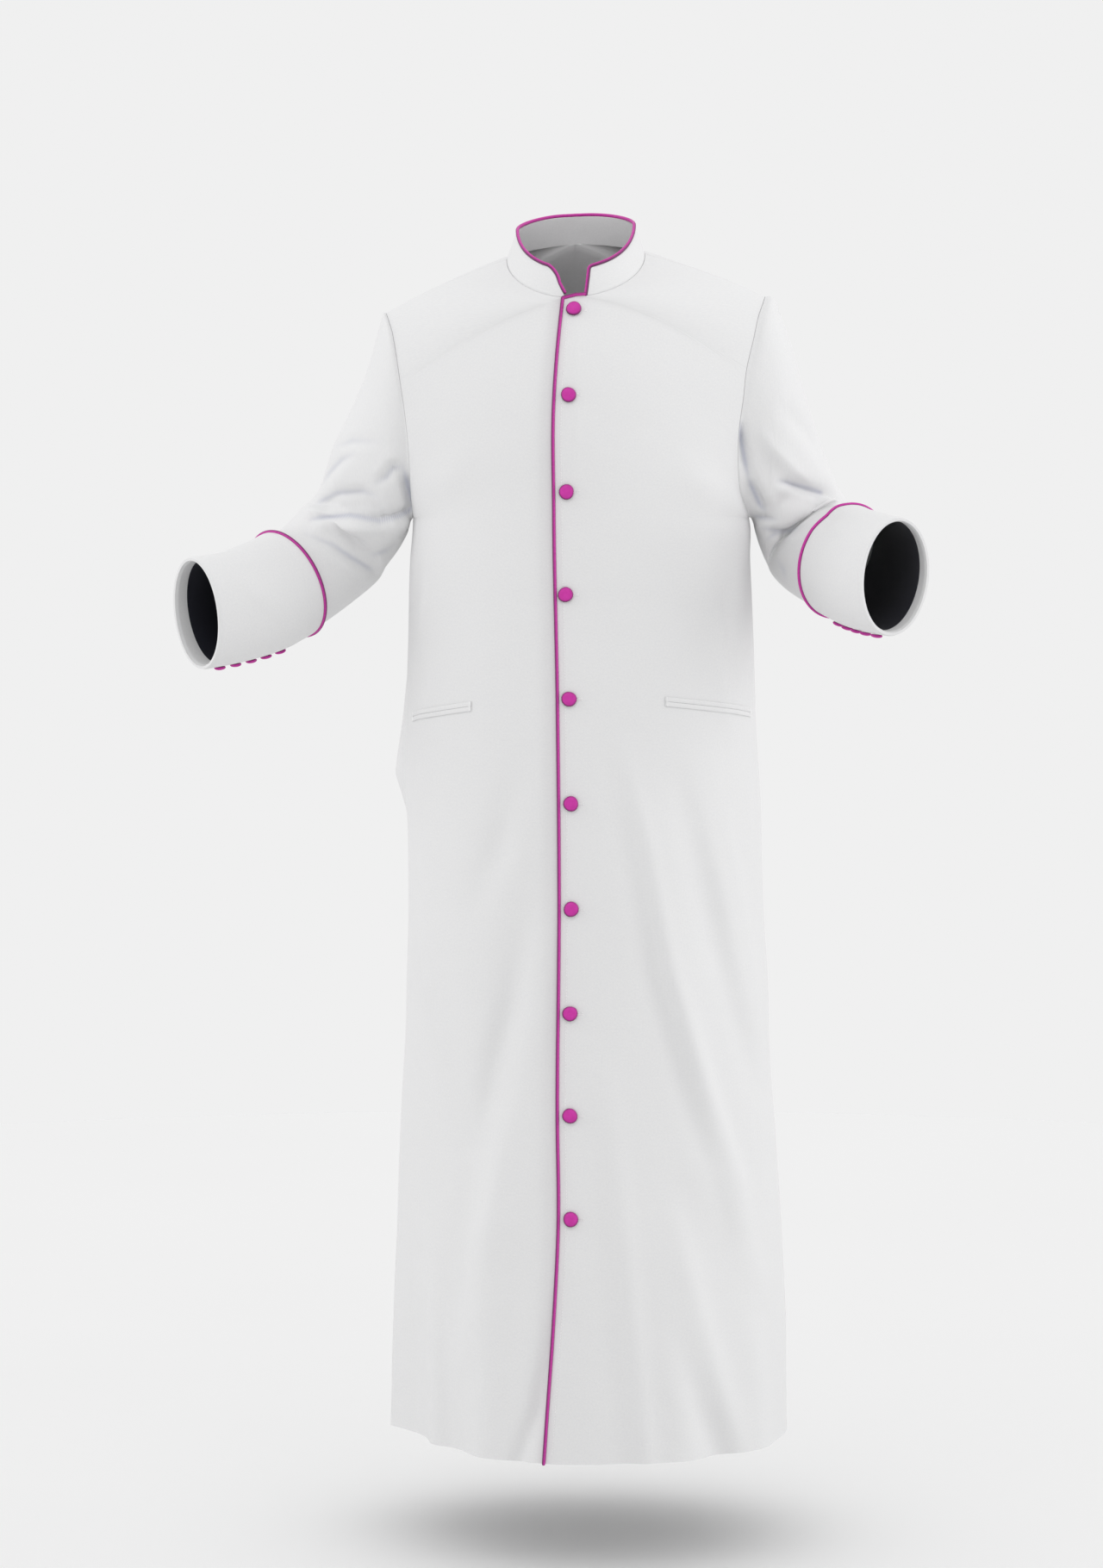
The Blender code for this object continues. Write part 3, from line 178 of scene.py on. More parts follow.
# Cuff: turned back over the sleeve, and in at the opening as a narrow facing
CuffRow = namedtuple("CuffRow", "outer_ring outer_lift inner_ring inner_lift")
CUFF_ROWS = [CuffRow(*row) for row in (
    (9.00, WALL + GAP, 9.00, GAP),
    (9.75, WALL + GAP, 9.75, GAP),
    (10.50, WALL + GAP, 10.50, GAP),
    (11.25, WALL + GAP, 11.25, GAP),
    (11.66, WALL + GAP, 11.66, GAP),
    (11.93, WALL + GAP, 11.90, GAP),
    (12.00, WALL * 0.4, 11.93, -WALL * 0.2),
    (12.00, -WALL * 1.4, 11.93, -WALL * 0.8),
    (11.93, -2 * WALL - GAP, 11.90, -WALL - GAP),
    (11.66, -2 * WALL - GAP, 11.66, -WALL - GAP),
)]
LINING_START = 8.40
LINING_STOP = 11.65
CUFF_PIPING_CLEARANCE = 0.0002
RING_NUDGE = 0.05

# Collar, with the outline of its two front ends
COLLAR_HEIGHT = 0.032
COLLAR_LEAN_LENGTH = 0.10
COLLAR_FRONT_LEAN = 0.005
COLLAR_SIDE_LEAN = 0.012
CollarEnd = namedtuple("CollarEnd", "base_along top_along height")
RIGHT_COLLAR_END = [CollarEnd(*row) for row in (
    (0.0000, 0.0095, 0.015),
    (0.0020, 0.0115, 0.021),
    (0.0050, 0.0150, 0.026),
    (0.0100, 0.0200, 0.030),
    (0.0165, 0.0250, 0.032),
)]
LEFT_COLLAR_END = [CollarEnd(*row) for row in (
    (0.0000, 0.0050, 0.030),
    (0.0030, 0.0075, 0.0315),
    (0.0165, 0.0195, 0.032),
)]
COLLAR_PIPING_START = 0.0052
FRONT_PIPING_LIFT = 0.0009
FRONT_PIPING_STOP = 0.0125
PIPING_CORNER_CUT = 0.0015
PIPING_CORNER_STEPS = 6
CORD_CAPS = np.array([0.0, 0.5, 0.87])
FIRST_SIDE = (0.3, -1.0, 0.2)
TIGHTEST_CORNER = 0.6
TOWARDS_BUTTONS = np.array([0.05, 0.0, -0.05])
TOWARDS_HEM = np.array([0.0, 0.0, -0.02])

# Buttons
Button = namedtuple("Button", "across height")
FRONT_BUTTONS = [Button(*row) for row in (
    (-0.0028, -0.0643),
    (-0.0089, -0.1633),
    (-0.0114, -0.2754),
    (-0.0124, -0.3935),
    (-0.0084, -0.5135),
    (-0.0064, -0.6337),
    (-0.0059, -0.7550),
    (-0.0074, -0.8753),
    (-0.0074, -0.9925),
    (-0.0064, -1.1112),
)]
FRONT_BUTTON_RADIUS = 0.0088
CUFF_BUTTON_RADIUS = 0.0068
CUFF_BUTTON_COUNT = 5
CUFF_BUTTON_STEP = 0.0220
CUFF_BUTTON_FIRST = 0.026
CUFF_BUTTON_PLACES = 200
FRONT_SPOILT_STEP = 1.7
CUFF_SPOILT_STEP = 2.1

# Pockets: two narrow lips on each front
Pocket = namedtuple("Pocket", "side inner_across outer_across inner_height outer_height")
POCKETS = [Pocket(*row) for row in (
    ("right", -0.1213, -0.1911, -0.523, -0.539),
    ("left", 0.1025, 0.2049, -0.517, -0.534),
)]
WELT_WIDTH = 0.0055
WELT_WALL = 0.0010
PUFF_AT_EDGE = 0.35
PUFF_INSET = 0.04

# How far trim stands off the cloth that it is sewn to
COLLAR_SEAT = 1.4 * GAP
WELT_SEAT = 1.3 * GAP
FRONT_BUTTON_SEAT = 1.5 * GAP
CUFF_BUTTON_SEAT = WALL + 2.3 * GAP

# How finely the cloth is divided
SKIRT_ROWS = 171
NECK_STEPS = 40
COLLAR_START_STEPS = 3
SHOULDER_STEPS = 26
CHEST_ROWS = np.concatenate([
    np.linspace(0.0, NECK_ROW, NECK_STEPS + 1),
    np.linspace(NECK_ROW, COLLAR_START_ROW, COLLAR_START_STEPS + 1)[1:],
    np.linspace(COLLAR_START_ROW, 1.0, SHOULDER_STEPS + 1)[1:],
])
LAP_COLUMNS = 5
PANEL_COLUMNS = 62
NEAR_EDGE_COLUMNS = 2 * LAP_COLUMNS + 10

FRONT = -1
BACK = 1
RIGHT = -1
LEFT = 1

# Largest folds: points given as share of the way from centre to side, height, and rise of the cloth
Fold = namedtuple("Fold", "face width path")
FOLD_GIRTH = 0.30
FOLD_SIDE_FADE = 0.14
FOLD_TOP_ROW = 1.2
FOLD_TOP_FADE = 0.2
FOLDS = [Fold(*row) for row in (
    (FRONT, 0.024, ((0.20, -0.55, 0.0), (0.27, -0.68, 0.004), (0.34, -0.83, 0.006), (0.42, -1.06, 0.007),
        (0.62, -1.18, 0.004), (0.74, -1.24, 0.0))),
    (FRONT, 0.022, ((0.44, -0.56, 0.0), (0.62, -0.74, 0.004), (0.74, -0.90, 0.003), (0.78, -1.00, 0.0))),
    (FRONT, 0.026, ((0.30, -1.10, 0.0), (0.29, -1.25, 0.006), (0.30, -1.40, 0.009))),
    (FRONT, 0.024, ((0.56, -1.15, 0.0), (0.60, -1.28, 0.006), (0.63, -1.40, 0.008))),
    (FRONT, 0.026, ((-0.10, -0.62, 0.0), (-0.20, -0.78, -0.003), (-0.28, -0.98, -0.006),
        (-0.26, -1.12, 0.0))),
    (FRONT, 0.026, ((-0.74, -0.72, 0.0), (-0.62, -0.88, -0.004), (-0.45, -1.04, -0.006),
        (-0.36, -1.14, 0.0))),
    (FRONT, 0.026, ((-0.22, -0.96, 0.0), (-0.28, -1.12, 0.006), (-0.34, -1.26, 0.008),
        (-0.36, -1.40, 0.009))),
    (FRONT, 0.022, ((-0.68, -1.10, 0.0), (-0.66, -1.26, 0.005), (-0.65, -1.40, 0.007))),
    (BACK, 0.024, ((-0.84, -0.43, 0.0), (-0.86, -0.54, 0.009), (-0.88, -0.61, 0.018),
        (-0.88, -0.65, 0.006), (-0.88, -0.69, 0.0))),
    (BACK, 0.024, ((-0.66, -0.62, 0.0), (-0.68, -0.95, 0.008), (-0.72, -1.40, 0.015))),
    (BACK, 0.022, ((-0.42, -0.55, 0.0), (-0.42, -0.90, 0.007), (-0.44, -1.40, 0.014))),
    (BACK, 0.024, ((-0.14, -0.48, 0.0), (-0.16, -0.85, 0.008), (-0.15, -1.40, 0.016))),
    (BACK, 0.022, ((0.14, -0.56, 0.0), (0.13, -0.92, 0.007), (0.16, -1.40, 0.013))),
    (BACK, 0.025, ((0.40, -0.50, 0.0), (0.42, -0.86, 0.008), (0.45, -1.40, 0.017))),
    (BACK, 0.022, ((0.68, -0.60, 0.0), (0.70, -0.95, 0.006), (0.75, -1.40, 0.012))),
)]
# The same on the sleeves: point given as way round from the outer line, ring, and rise
SleeveFold = namedtuple("SleeveFold", "side width path")
SLEEVE_GIRTH = 0.19
SLEEVE_RING_LENGTH = 0.045
SLEEVE_FOLD_START = 2.0
SLEEVE_FOLD_STOP = 8.95
SLEEVE_FOLD_FADE = 0.8
ARMHOLE_CREASE_FADE = 0.5
SLEEVE_FOLDS = [SleeveFold(*row) for row in (
    (RIGHT, 0.013, ((0.06, 6.4, 0.0), (0.25, 6.4, -0.009), (0.48, 5.4, -0.010), (0.75, 4.4, 0.0))),
    (RIGHT, 0.015, ((0.08, 7.2, 0.0), (0.25, 7.1, 0.008), (0.50, 6.3, 0.007), (0.75, 5.4, 0.0))),
    (RIGHT, 0.014, ((-0.45, 6.0, 0.0), (-0.22, 6.5, -0.008), (-0.06, 6.4, 0.0))),
    (LEFT, 0.013, ((0.06, 6.4, 0.0), (0.25, 6.2, -0.008), (0.48, 5.2, -0.008), (0.75, 4.2, 0.0))),
    (LEFT, 0.015, ((0.06, 7.2, 0.0), (0.22, 7.0, 0.008), (0.46, 6.2, 0.006), (0.72, 5.2, 0.0))),
    (LEFT, 0.014, ((-0.45, 6.0, 0.0), (-0.22, 6.5, -0.008), (-0.06, 6.4, 0.0))),
)]

# Finer creases as seen from one side: points given as across, height and rise in metres. A lip is a ridge
# beside the crease, on its left as the path runs, as a share of the crease's own rise
Crease = namedtuple("Crease", "width lip path")
FRONT_CREASES = [Crease(*row) for row in (
    (0.012, -0.45, ((0.050, -0.551, 0.0), (0.080, -0.677, 0.0030), (0.109, -0.829, 0.0045),
        (0.150, -0.970, 0.0055), (0.185, -1.077, 0.0050), (0.203, -1.153, 0.0))),
    (0.016, 0.0, ((0.114, -0.589, 0.0), (0.161, -0.793, -0.0030), (0.197, -0.912, -0.0030),
        (0.221, -1.001, 0.0))),
    (0.012, 0.0, ((0.125, -0.560, 0.0), (0.172, -0.752, 0.0026), (0.196, -0.875, 0.0024),
        (0.220, -0.970, 0.0))),
    (0.014, -0.4, ((0.033, -0.912, 0.0), (0.056, -1.147, 0.0026), (0.081, -1.400, 0.0040))),
    (0.016, 0.3, ((0.104, -1.214, 0.0), (0.157, -1.362, -0.0050), (0.170, -1.400, -0.0050))),
    (0.014, 0.0, ((0.103, -1.077, 0.0), (0.131, -1.183, 0.0028), (0.167, -1.324, 0.0034),
        (0.190, -1.40, 0.002))),
    (0.016, 0.3, ((-0.054, -0.742, 0.0), (-0.078, -0.882, -0.0040), (-0.107, -0.988, -0.0030),
        (-0.12, -1.06, 0.0))),
    (0.018, 0.2, ((-0.060, -0.561, 0.0), (-0.090, -0.686, -0.0034), (-0.131, -0.784, 0.0))),
    (0.013, -0.4, ((-0.072, -0.960, 0.0), (-0.108, -1.136, 0.0040), (-0.120, -1.237, 0.0030),
        (-0.130, -1.31, 0.0))),
    (0.011, -0.3, ((-0.192, -0.695, 0.0), (-0.172, -0.852, 0.0034), (-0.137, -1.000, 0.0))),
    (0.012, -0.3, ((-0.196, -1.087, 0.0), (-0.167, -1.267, 0.0032), (-0.161, -1.400, 0.0036))),
    (0.010, 0.0, ((-0.019, -1.183, 0.0), (-0.046, -1.330, -0.0030), (-0.069, -1.400, -0.0040))),
    (0.008, -0.5, ((-0.176, -0.340, 0.0), (-0.178, -0.407, 0.0022), (-0.189, -0.463, 0.0))),
    (0.009, -0.5, ((-0.168, -0.460, 0.0), (-0.180, -0.544, 0.0026), (-0.191, -0.650, 0.0))),
    (0.010, -0.4, ((0.193, -0.324, 0.0), (0.190, -0.404, 0.0026), (0.182, -0.504, 0.0))),
    (0.011, -0.4, ((0.166, -0.400, 0.0), (0.169, -0.484, 0.0022), (0.182, -0.574, 0.0))),
    (0.020, 0.0, ((-0.120, -0.210, 0.0), (-0.150, -0.262, 0.0016), (-0.178, -0.300, 0.0))),
    (0.020, 0.0, ((0.110, -0.220, 0.0), (0.148, -0.268, 0.0016), (0.176, -0.300, 0.0))),
)]
BACK_CREASES = [Crease(*row) for row in (
    (0.016, -0.4, ((-0.170, -0.180, 0.0), (-0.130, -0.280, 0.0030), (-0.060, -0.400, 0.0))),
    (0.016, 0.4, ((0.165, -0.190, 0.0), (0.120, -0.300, 0.0032), (0.050, -0.420, 0.0))),
    (0.012, -0.4, ((-0.180, -0.270, 0.0), (-0.150, -0.350, 0.0030), (-0.110, -0.460, 0.0))),
    (0.012, 0.4, ((0.178, -0.280, 0.0), (0.145, -0.370, 0.0028), (0.100, -0.470, 0.0))),
    (0.014, -0.4, ((-0.120, -0.640, 0.0), (-0.130, -0.950, 0.0040), (-0.152, -1.400, 0.0060))),
    (0.013, 0.3, ((-0.040, -0.560, 0.0), (-0.042, -0.880, 0.0040), (-0.058, -1.400, 0.0060))),
    (0.013, -0.3, ((0.060, -0.600, 0.0), (0.058, -0.900, 0.0036), (0.072, -1.400, 0.0060))),
    (0.014, 0.4, ((0.135, -0.660, 0.0), (0.150, -0.980, 0.0040), (0.176, -1.400, 0.0060))),
    (0.018, 0.0, ((-0.060, -0.060, 0.0), (0.000, -0.085, 0.0014), (0.060, -0.060, 0.0))),
)]
SLEEVE_FRONT_CREASES = [Crease(*row) for row in (
    (0.0055, -0.7, ((-0.318, -0.309, 0.0), (-0.300, -0.306, -0.0040), (-0.265, -0.303, -0.0045),
        (-0.231, -0.309, -0.0050), (-0.210, -0.304, -0.0055), (-0.192, -0.296, -0.0040))),
    (0.0060, -0.6, ((-0.318, -0.292, 0.0), (-0.300, -0.286, -0.0026), (-0.281, -0.277, -0.0030),
        (-0.251, -0.275, -0.0022), (-0.228, -0.282, 0.0))),
    (0.0060, -0.5, ((-0.302, -0.268, 0.0), (-0.290, -0.252, -0.0020), (-0.276, -0.238, -0.0022),
        (-0.256, -0.229, 0.0))),
    (0.0070, -0.4, ((-0.288, -0.224, 0.0), (-0.262, -0.216, -0.0016), (-0.221, -0.217, 0.0))),
    (0.0060, 0.4, ((-0.238, -0.268, 0.0), (-0.222, -0.258, -0.0026), (-0.214, -0.248, -0.0028),
        (-0.195, -0.246, 0.0))),
    (0.0070, 0.0, ((-0.202, -0.246, 0.0), (-0.197, -0.268, -0.0060), (-0.190, -0.290, -0.0050),
        (-0.186, -0.300, 0.0))),
    (0.0060, -0.5, ((-0.325, -0.322, 0.0), (-0.286, -0.338, -0.0022), (-0.266, -0.352, -0.0030),
        (-0.243, -0.367, -0.0026), (-0.232, -0.374, 0.0))),
    (0.0065, 0.5, ((-0.246, -0.352, 0.0), (-0.222, -0.345, -0.0030), (-0.205, -0.336, -0.0034),
        (-0.190, -0.317, 0.0))),
    (0.0100, 0.0, ((-0.390, -0.375, 0.0), (-0.365, -0.397, 0.0014), (-0.340, -0.425, 0.0))),
    (0.0110, 0.0, ((0.236, -0.168, 0.0), (0.262, -0.196, -0.0026), (0.283, -0.218, -0.0028),
        (0.302, -0.252, 0.0))),
    (0.0085, -0.5, ((0.208, -0.196, 0.0), (0.232, -0.228, 0.0024), (0.262, -0.256, 0.0028),
        (0.292, -0.279, 0.0026), (0.312, -0.298, 0.0))),
    (0.0055, -0.7, ((0.232, -0.262, 0.0), (0.248, -0.265, -0.0036), (0.275, -0.272, -0.0044),
        (0.300, -0.280, -0.0046), (0.318, -0.286, -0.0030))),
    (0.0060, 0.0, ((0.191, -0.190, 0.0), (0.192, -0.212, -0.0060), (0.197, -0.238, -0.0050),
        (0.203, -0.265, 0.0))),
    (0.0060, 0.4, ((0.200, -0.256, 0.0), (0.207, -0.272, -0.0050), (0.216, -0.290, -0.0044),
        (0.224, -0.300, 0.0))),
    (0.0050, -0.6, ((0.206, -0.303, 0.0), (0.219, -0.306, -0.0040), (0.240, -0.309, 0.0))),
    (0.0050, -0.6, ((0.214, -0.317, 0.0), (0.235, -0.321, -0.0032), (0.252, -0.322, -0.0028),
        (0.266, -0.314, 0.0))),
    (0.0050, 0.5, ((0.222, -0.334, 0.0), (0.234, -0.325, -0.0030), (0.250, -0.322, 0.0))),
    (0.0060, 0.0, ((0.236, -0.352, 0.0), (0.244, -0.366, -0.0016), (0.248, -0.382, 0.0))),
    (0.0060, -0.6, ((0.280, -0.322, 0.0), (0.296, -0.308, -0.0026), (0.314, -0.300, 0.0))),
)]
SLEEVE_BACK_CREASES = [Crease(*row) for row in (
    (0.0080, -0.5, ((-0.300, -0.310, 0.0), (-0.262, -0.318, -0.0036), (-0.215, -0.318, 0.0))),
    (0.0090, -0.5, ((-0.290, -0.270, 0.0), (-0.252, -0.268, -0.0028), (-0.212, -0.285, 0.0))),
    (0.0100, -0.4, ((-0.270, -0.205, 0.0), (-0.240, -0.222, -0.0020), (-0.210, -0.250, 0.0))),
    (0.0080, 0.5, ((0.305, -0.300, 0.0), (0.270, -0.314, -0.0036), (0.225, -0.322, 0.0))),
    (0.0090, 0.5, ((0.300, -0.262, 0.0), (0.262, -0.272, -0.0028), (0.218, -0.292, 0.0))),
    (0.0100, 0.4, ((0.275, -0.200, 0.0), (0.246, -0.220, -0.0020), (0.212, -0.252, 0.0))),
)]
CREASE_DEPTH = 1.5
PINCH_LIP = 0.5
PINCH_POWER = 1.35
LIP_PLACE = 1.9
LIP_WIDTH = 1.3
SIDE_ON = 0.05
SIDE_FADE = 0.45

# Patterns of the finishes: steps in metres, scales as repeats a metre
THREAD_STEP = 0.0018
SLUB_SCALE = 420.0
RUMPLE_SCALE = 26.0
SATIN_RIB_STEP = 0.0012
TWILL_STEP = 0.0012
# Painted shadow on a piping cord: where round the cord it starts to darken
SEAM_SHADOW_START = 0.05
# Painted shade in the sleeves' pinched creases: the rise that gives full shade, its width as a share of the
# crease's, its fade from the sleeve's middle, and the widest crease that gets it
CREASE_SHADE_DEPTH = 0.0045
CREASE_SHADE_WIDTH = 0.45
CREASE_SHADE_FADE = 0.02
WIDEST_SHADED_CREASE = 0.008
BUTTON_RIB_SCALE = 320.0
BUTTON_UNEVEN_SCALE = 160.0
THREAD_TWIST_SCALE = 900.0
BUTTON_PROFILE = ((0.0, 0.0), (0.55, 0.0), (0.84, 0.0), (0.93, 0.03), (0.98, 0.09), (1.0, 0.16), (0.99, 0.24),
                  (0.95, 0.32), (0.86, 0.41), (0.72, 0.48), (0.52, 0.54), (0.28, 0.575), (0.0, 0.58))
BUTTON_SIDES = 48
BUTTON_OVAL = 0.022
BUTTON_LUMPS = 0.014
LUMP_TURN = 2.3
# Painted shade round a button's rim: the height where it starts and its fade, how much of it leans to the
# lower left, and the cuff buttons' share of it
RIM_SHADE_TOP = 0.46
RIM_SHADE_FADE = 0.14
RIM_SHADE_SIDE_SHARE = 0.25
RIM_SHADE_SIDE_TURN = 0.75 * math.pi
CUFF_RIM_SHADE_SHARE = 0.25
GATHERS = 16
GATHER_DEPTH = 0.010
GATHER_HEIGHT = 0.16
GATHER_FALL = 6
MERGE_CORD = 0.000005
MERGE_BUTTON = 0.00001

# Stitching
STITCH_STEP = 0.0034
STITCH_LENGTH = 0.0027
STITCH_RADIUS = 0.00032
STITCH_SIZES = (("Step", STITCH_STEP), ("Length", STITCH_LENGTH), ("Radius", STITCH_RADIUS))
EDGE_STITCH_INSET = 0.0070
THREAD_RADIUS = 0.00030
THREAD_SIZES = (("Radius", THREAD_RADIUS),)
BAR_RAISE = 0.6 * THREAD_RADIUS
TACK_RAISE = 0.3 * THREAD_RADIUS
BUTTONHOLE_START = 0.0050
BUTTONHOLE_STEP = 0.0007
BUTTONHOLE_BARS = 15
BUTTONHOLE_HALF = 0.0013
BUTTONHOLE_END_HALF = 1.3 * BUTTONHOLE_HALF
TACK_LINES = 3
TACK_INSET = 0.0015
TACK_STEP = 0.0007
TACK_GIRTH = 0.35

# Finer steps and small forms of the trim
UNDERLAP_FADE_ROWS = (COLLAR_START_ROW, 0.7, 0.8)
UNDERLAP_FADE = (1.0, 0.6, 0.0)
COLLAR_END_STEPS = 12
COLLAR_STEPS = 130
COLLAR_ROWS = 12
COLLAR_BELLY = 0.0006
COLLAR_PIPING_STEPS = 220
CUFF_STEPS = 64
CUFF_FLARE = 0.0012
CUFF_FLARE_END = 9.6
LINING_STEPS = 46
WELT_STEPS = 40
WELT_ROWS = 7
POCKET_LEVEL = -0.53

# Studio: lamps as name, place, aim, size and power
LAMPS = (
    ("left_softbox", (-3.4, -0.6, 0.4), (0.0, 0.0, -0.6), (1.6, 3.0), 25.0),
    ("right_softbox", (3.4, -0.6, 0.4), (0.0, 0.0, -0.6), (1.6, 3.0), 35.0),
    ("overhead_softbox", (-0.5, -2.8, 2.6), (0.0, 0.0, -0.5), (2.0, 1.4), 17.0),
)
# Brightness of the studio by height, as sine and level. The first level is also that below the horizon
STUDIO_LEVELS = ((0.0, 0.871), (0.20, 0.871), (0.40, 0.78), (0.75, 1.0))
FLOOR_HEIGHT = -1.52
FLOOR_RADIUS = 3.4
FLOOR_SIDES = 96
CAMERA_PLACE = (-0.0286, -5.0, -0.265)
CAMERA_TILT = 85.92
CAMERA_LENS = 96.96
CAMERA_SENSOR = 36.0

# Slow unevenness of worn cloth: waves across and up, in radians a metre, with their phase and height
WAVES = (
    (31.0, 17.0, 1.3, 0.00035),
    (-23.0, 29.0, 0.4, 0.00030),
    (61.0, -13.0, 2.2, 0.00016),
    (-47.0, -53.0, 3.1, 0.00014),
)
WAVE_TURN_BACK = 9
HALVINGS = 30


def smooth(keys, values, at):
    """Values read at any place from a smooth curve through a short table."""
    keys = np.asarray(keys, float)
    values = np.asarray(values, float)
    at = np.clip(np.asarray(at, float), keys[0], keys[-1])
    steps = np.diff(keys)
    rises = np.diff(values, axis=0)
    column = (-1,) + (1,) * (values.ndim - 1)
    slopes = rises / steps.reshape(column)
    before = steps[:-1].reshape(column)
    after = steps[1:].reshape(column)
    middle = (slopes[:-1] * after + slopes[1:] * before) / (before + after)
    tangents = np.concatenate([slopes[:1], middle, slopes[-1:]])
    place = np.clip(np.searchsorted(keys, at, side="right") - 1, 0, len(keys) - 2)
    length = steps[place]
    share = (at - keys[place]) / length
    if values.ndim > 1:
        length = length[..., None]
        share = share[..., None]
    return (
        values[place] * (1 + 2 * share) * (1 - share) ** 2
        + tangents[place] * length * share * (1 - share) ** 2
        + values[place + 1] * share**2 * (3 - 2 * share)
        + tangents[place + 1] * length * share**2 * (share - 1)
    )


def ease(share):
    share = np.clip(share, 0.0, 1.0)
    return share * share * (3 - 2 * share)


def stack(x, y, z):
    return np.stack(np.broadcast_arrays(x, y, z), axis=-1)


def unit(vectors):
    return vectors / np.linalg.norm(vectors, axis=-1, keepdims=True)


def run_along(path):
    """Distance along a path at each of its points."""
    return np.concatenate([[0.0], np.cumsum(np.linalg.norm(np.diff(path, axis=0), axis=1))])


def read_along(values, run, places):
    """Values given at the points of a path, read at other distances along it."""
    return np.stack([np.interp(places, run, values[:, axis]) for axis in range(3)], axis=-1)


def between(grid, row, column, up, over):
    """A value of a grid part of the way up and over from one of its points."""
    low = grid[row, column] * (1 - over) + grid[row, column + 1] * over
    high = grid[row + 1, column] * (1 - over) + grid[row + 1, column + 1] * over
    return low * (1 - up) + high * up


def depth_at(face, height):
    skirt = [(row.height, row.front if face == FRONT else row.back) for row in SECTIONS]
    chest = [(row.height, row.depth) for row in (CHEST_DEPTHS if face == FRONT else BACK_DEPTHS)]
    heights, depths = zip(*(skirt + chest[1:]))
    return face * smooth(heights, depths, height)


def side_reach(side, height):
    rows = SECTIONS + ARMHOLES[1:]
    reaches = [row.right if side == RIGHT else row.left for row in rows]
    return side * smooth([row.height for row in rows], reaches, height)


def inner_edge(face, side, row):
    """The panel's inner boundary: the centre line from the hem (row 0) up, then the neckline to row 2."""
    neck_height = CHEST_DEPTHS[-1].height if face == FRONT else BACK_DEPTHS[-1].height
    chest = np.clip(row - 1, 0, NECK_ROW) / NECK_ROW
    height = HEM_HEIGHT + (UNDERARM_HEIGHT - HEM_HEIGHT) * np.minimum(row, 1)
    height = height + (neck_height - UNDERARM_HEIGHT) * chest
    turn = np.clip((row - 1 - NECK_ROW) / (1 - NECK_ROW), 0, 1) * math.pi / 2
    depth = depth_at(face, height) * np.cos(turn)
    height = height + (NECK_SHOULDER_HEIGHT - neck_height) * (1 - np.cos(turn))
    return stack(side * NECK_HALF_WIDTH * np.sin(turn), depth, height)


def outer_edge(face, side, row):
    """The panel's outer boundary: the side seam up to the underarm (row 1), then the armhole to row 2."""
    turn = math.pi * (1 - np.clip(row - 1, 0, 1))
    middle = (SHOULDER_POINT_HEIGHT + UNDERARM_HEIGHT) / 2
    half = (SHOULDER_POINT_HEIGHT - UNDERARM_HEIGHT) / 2
    skirt_height = HEM_HEIGHT + (UNDERARM_HEIGHT - HEM_HEIGHT) * np.minimum(row, 1)
    height = np.where(row < 1, skirt_height, middle + half * np.cos(turn))
    depth = SHOULDER_POINT_DEPTH * (1 + np.cos(turn)) / 2 + face * ARMHOLE_HALF_DEPTH * np.sin(turn)
    return stack(side_reach(side, height), np.where(row < 1, 0.0, depth), height)


def body(face, side, share, row):
    """A point of the smooth body: share 0 at the centre, 1 at the side; row 0 hem, 1 underarm, 2 shoulder."""
    share, row = np.broadcast_arrays(np.asarray(share, float), np.asarray(row, float))
    start = inner_edge(face, side, row)
    end = outer_edge(face, side, row)
    blend = np.clip(row - 1, 0, 1)[..., None]
    straight = (end - start) / 3
    zero = np.zeros(row.shape)
    out = stack(CENTRE_HANDLE * end[..., 0], zero, zero)
    lean, handle = zero, SIDE_HANDLE
    if (face, side) == (FRONT, RIGHT):
        heights = [slant.height for slant in RIGHT_SLANTS]
        slants = smooth(heights, [slant[1:] for slant in RIGHT_SLANTS], end[..., 2])
        lean, handle = slants[..., 0], slants[..., 1]
    back = stack(lean, handle * (start[..., 1] - end[..., 1]), zero)
    crown = stack(zero, zero, SHOULDER_CROWN + zero)
    first = start + out * (1 - blend) + (straight + crown) * blend
    second = end + back * (1 - blend) + (crown - straight) * blend
    s = share[..., None]
    points = (1 - s) ** 3 * start + 3 * s * (1 - s) ** 2 * first + 3 * s * s * (1 - s) * second + s**3 * end
    upper = ease((points[..., 2] - UNDERARM_HEIGHT) / (SHOULDER_POINT_HEIGHT - UNDERARM_HEIGHT))
    points[..., 2] += SHOULDER_ROLL * points[..., 0] * upper
    return points


def row_at(height):
    """The row of the skirt, or of the centre line above it, that lies at a height."""
    skirt = (height - HEM_HEIGHT) / (UNDERARM_HEIGHT - HEM_HEIGHT)
    chest = 1 + NECK_ROW * (height - UNDERARM_HEIGHT) / (CHEST_DEPTHS[-1].height - UNDERARM_HEIGHT)
    return np.where(skirt < 1, skirt, chest)


def share_at(face, side, row, across):
    """How far from centre to side a row of the body reaches the distance across."""
    low = np.zeros(np.broadcast(row, across).shape)
    high = np.ones_like(low)
    for _ in range(HALVINGS):
        middle = (low + high) / 2
        short = side * body(face, side, middle, row)[..., 0] < side * across
        low = np.where(short, middle, low)
        high = np.where(short, high, middle)
    return (low + high) / 2


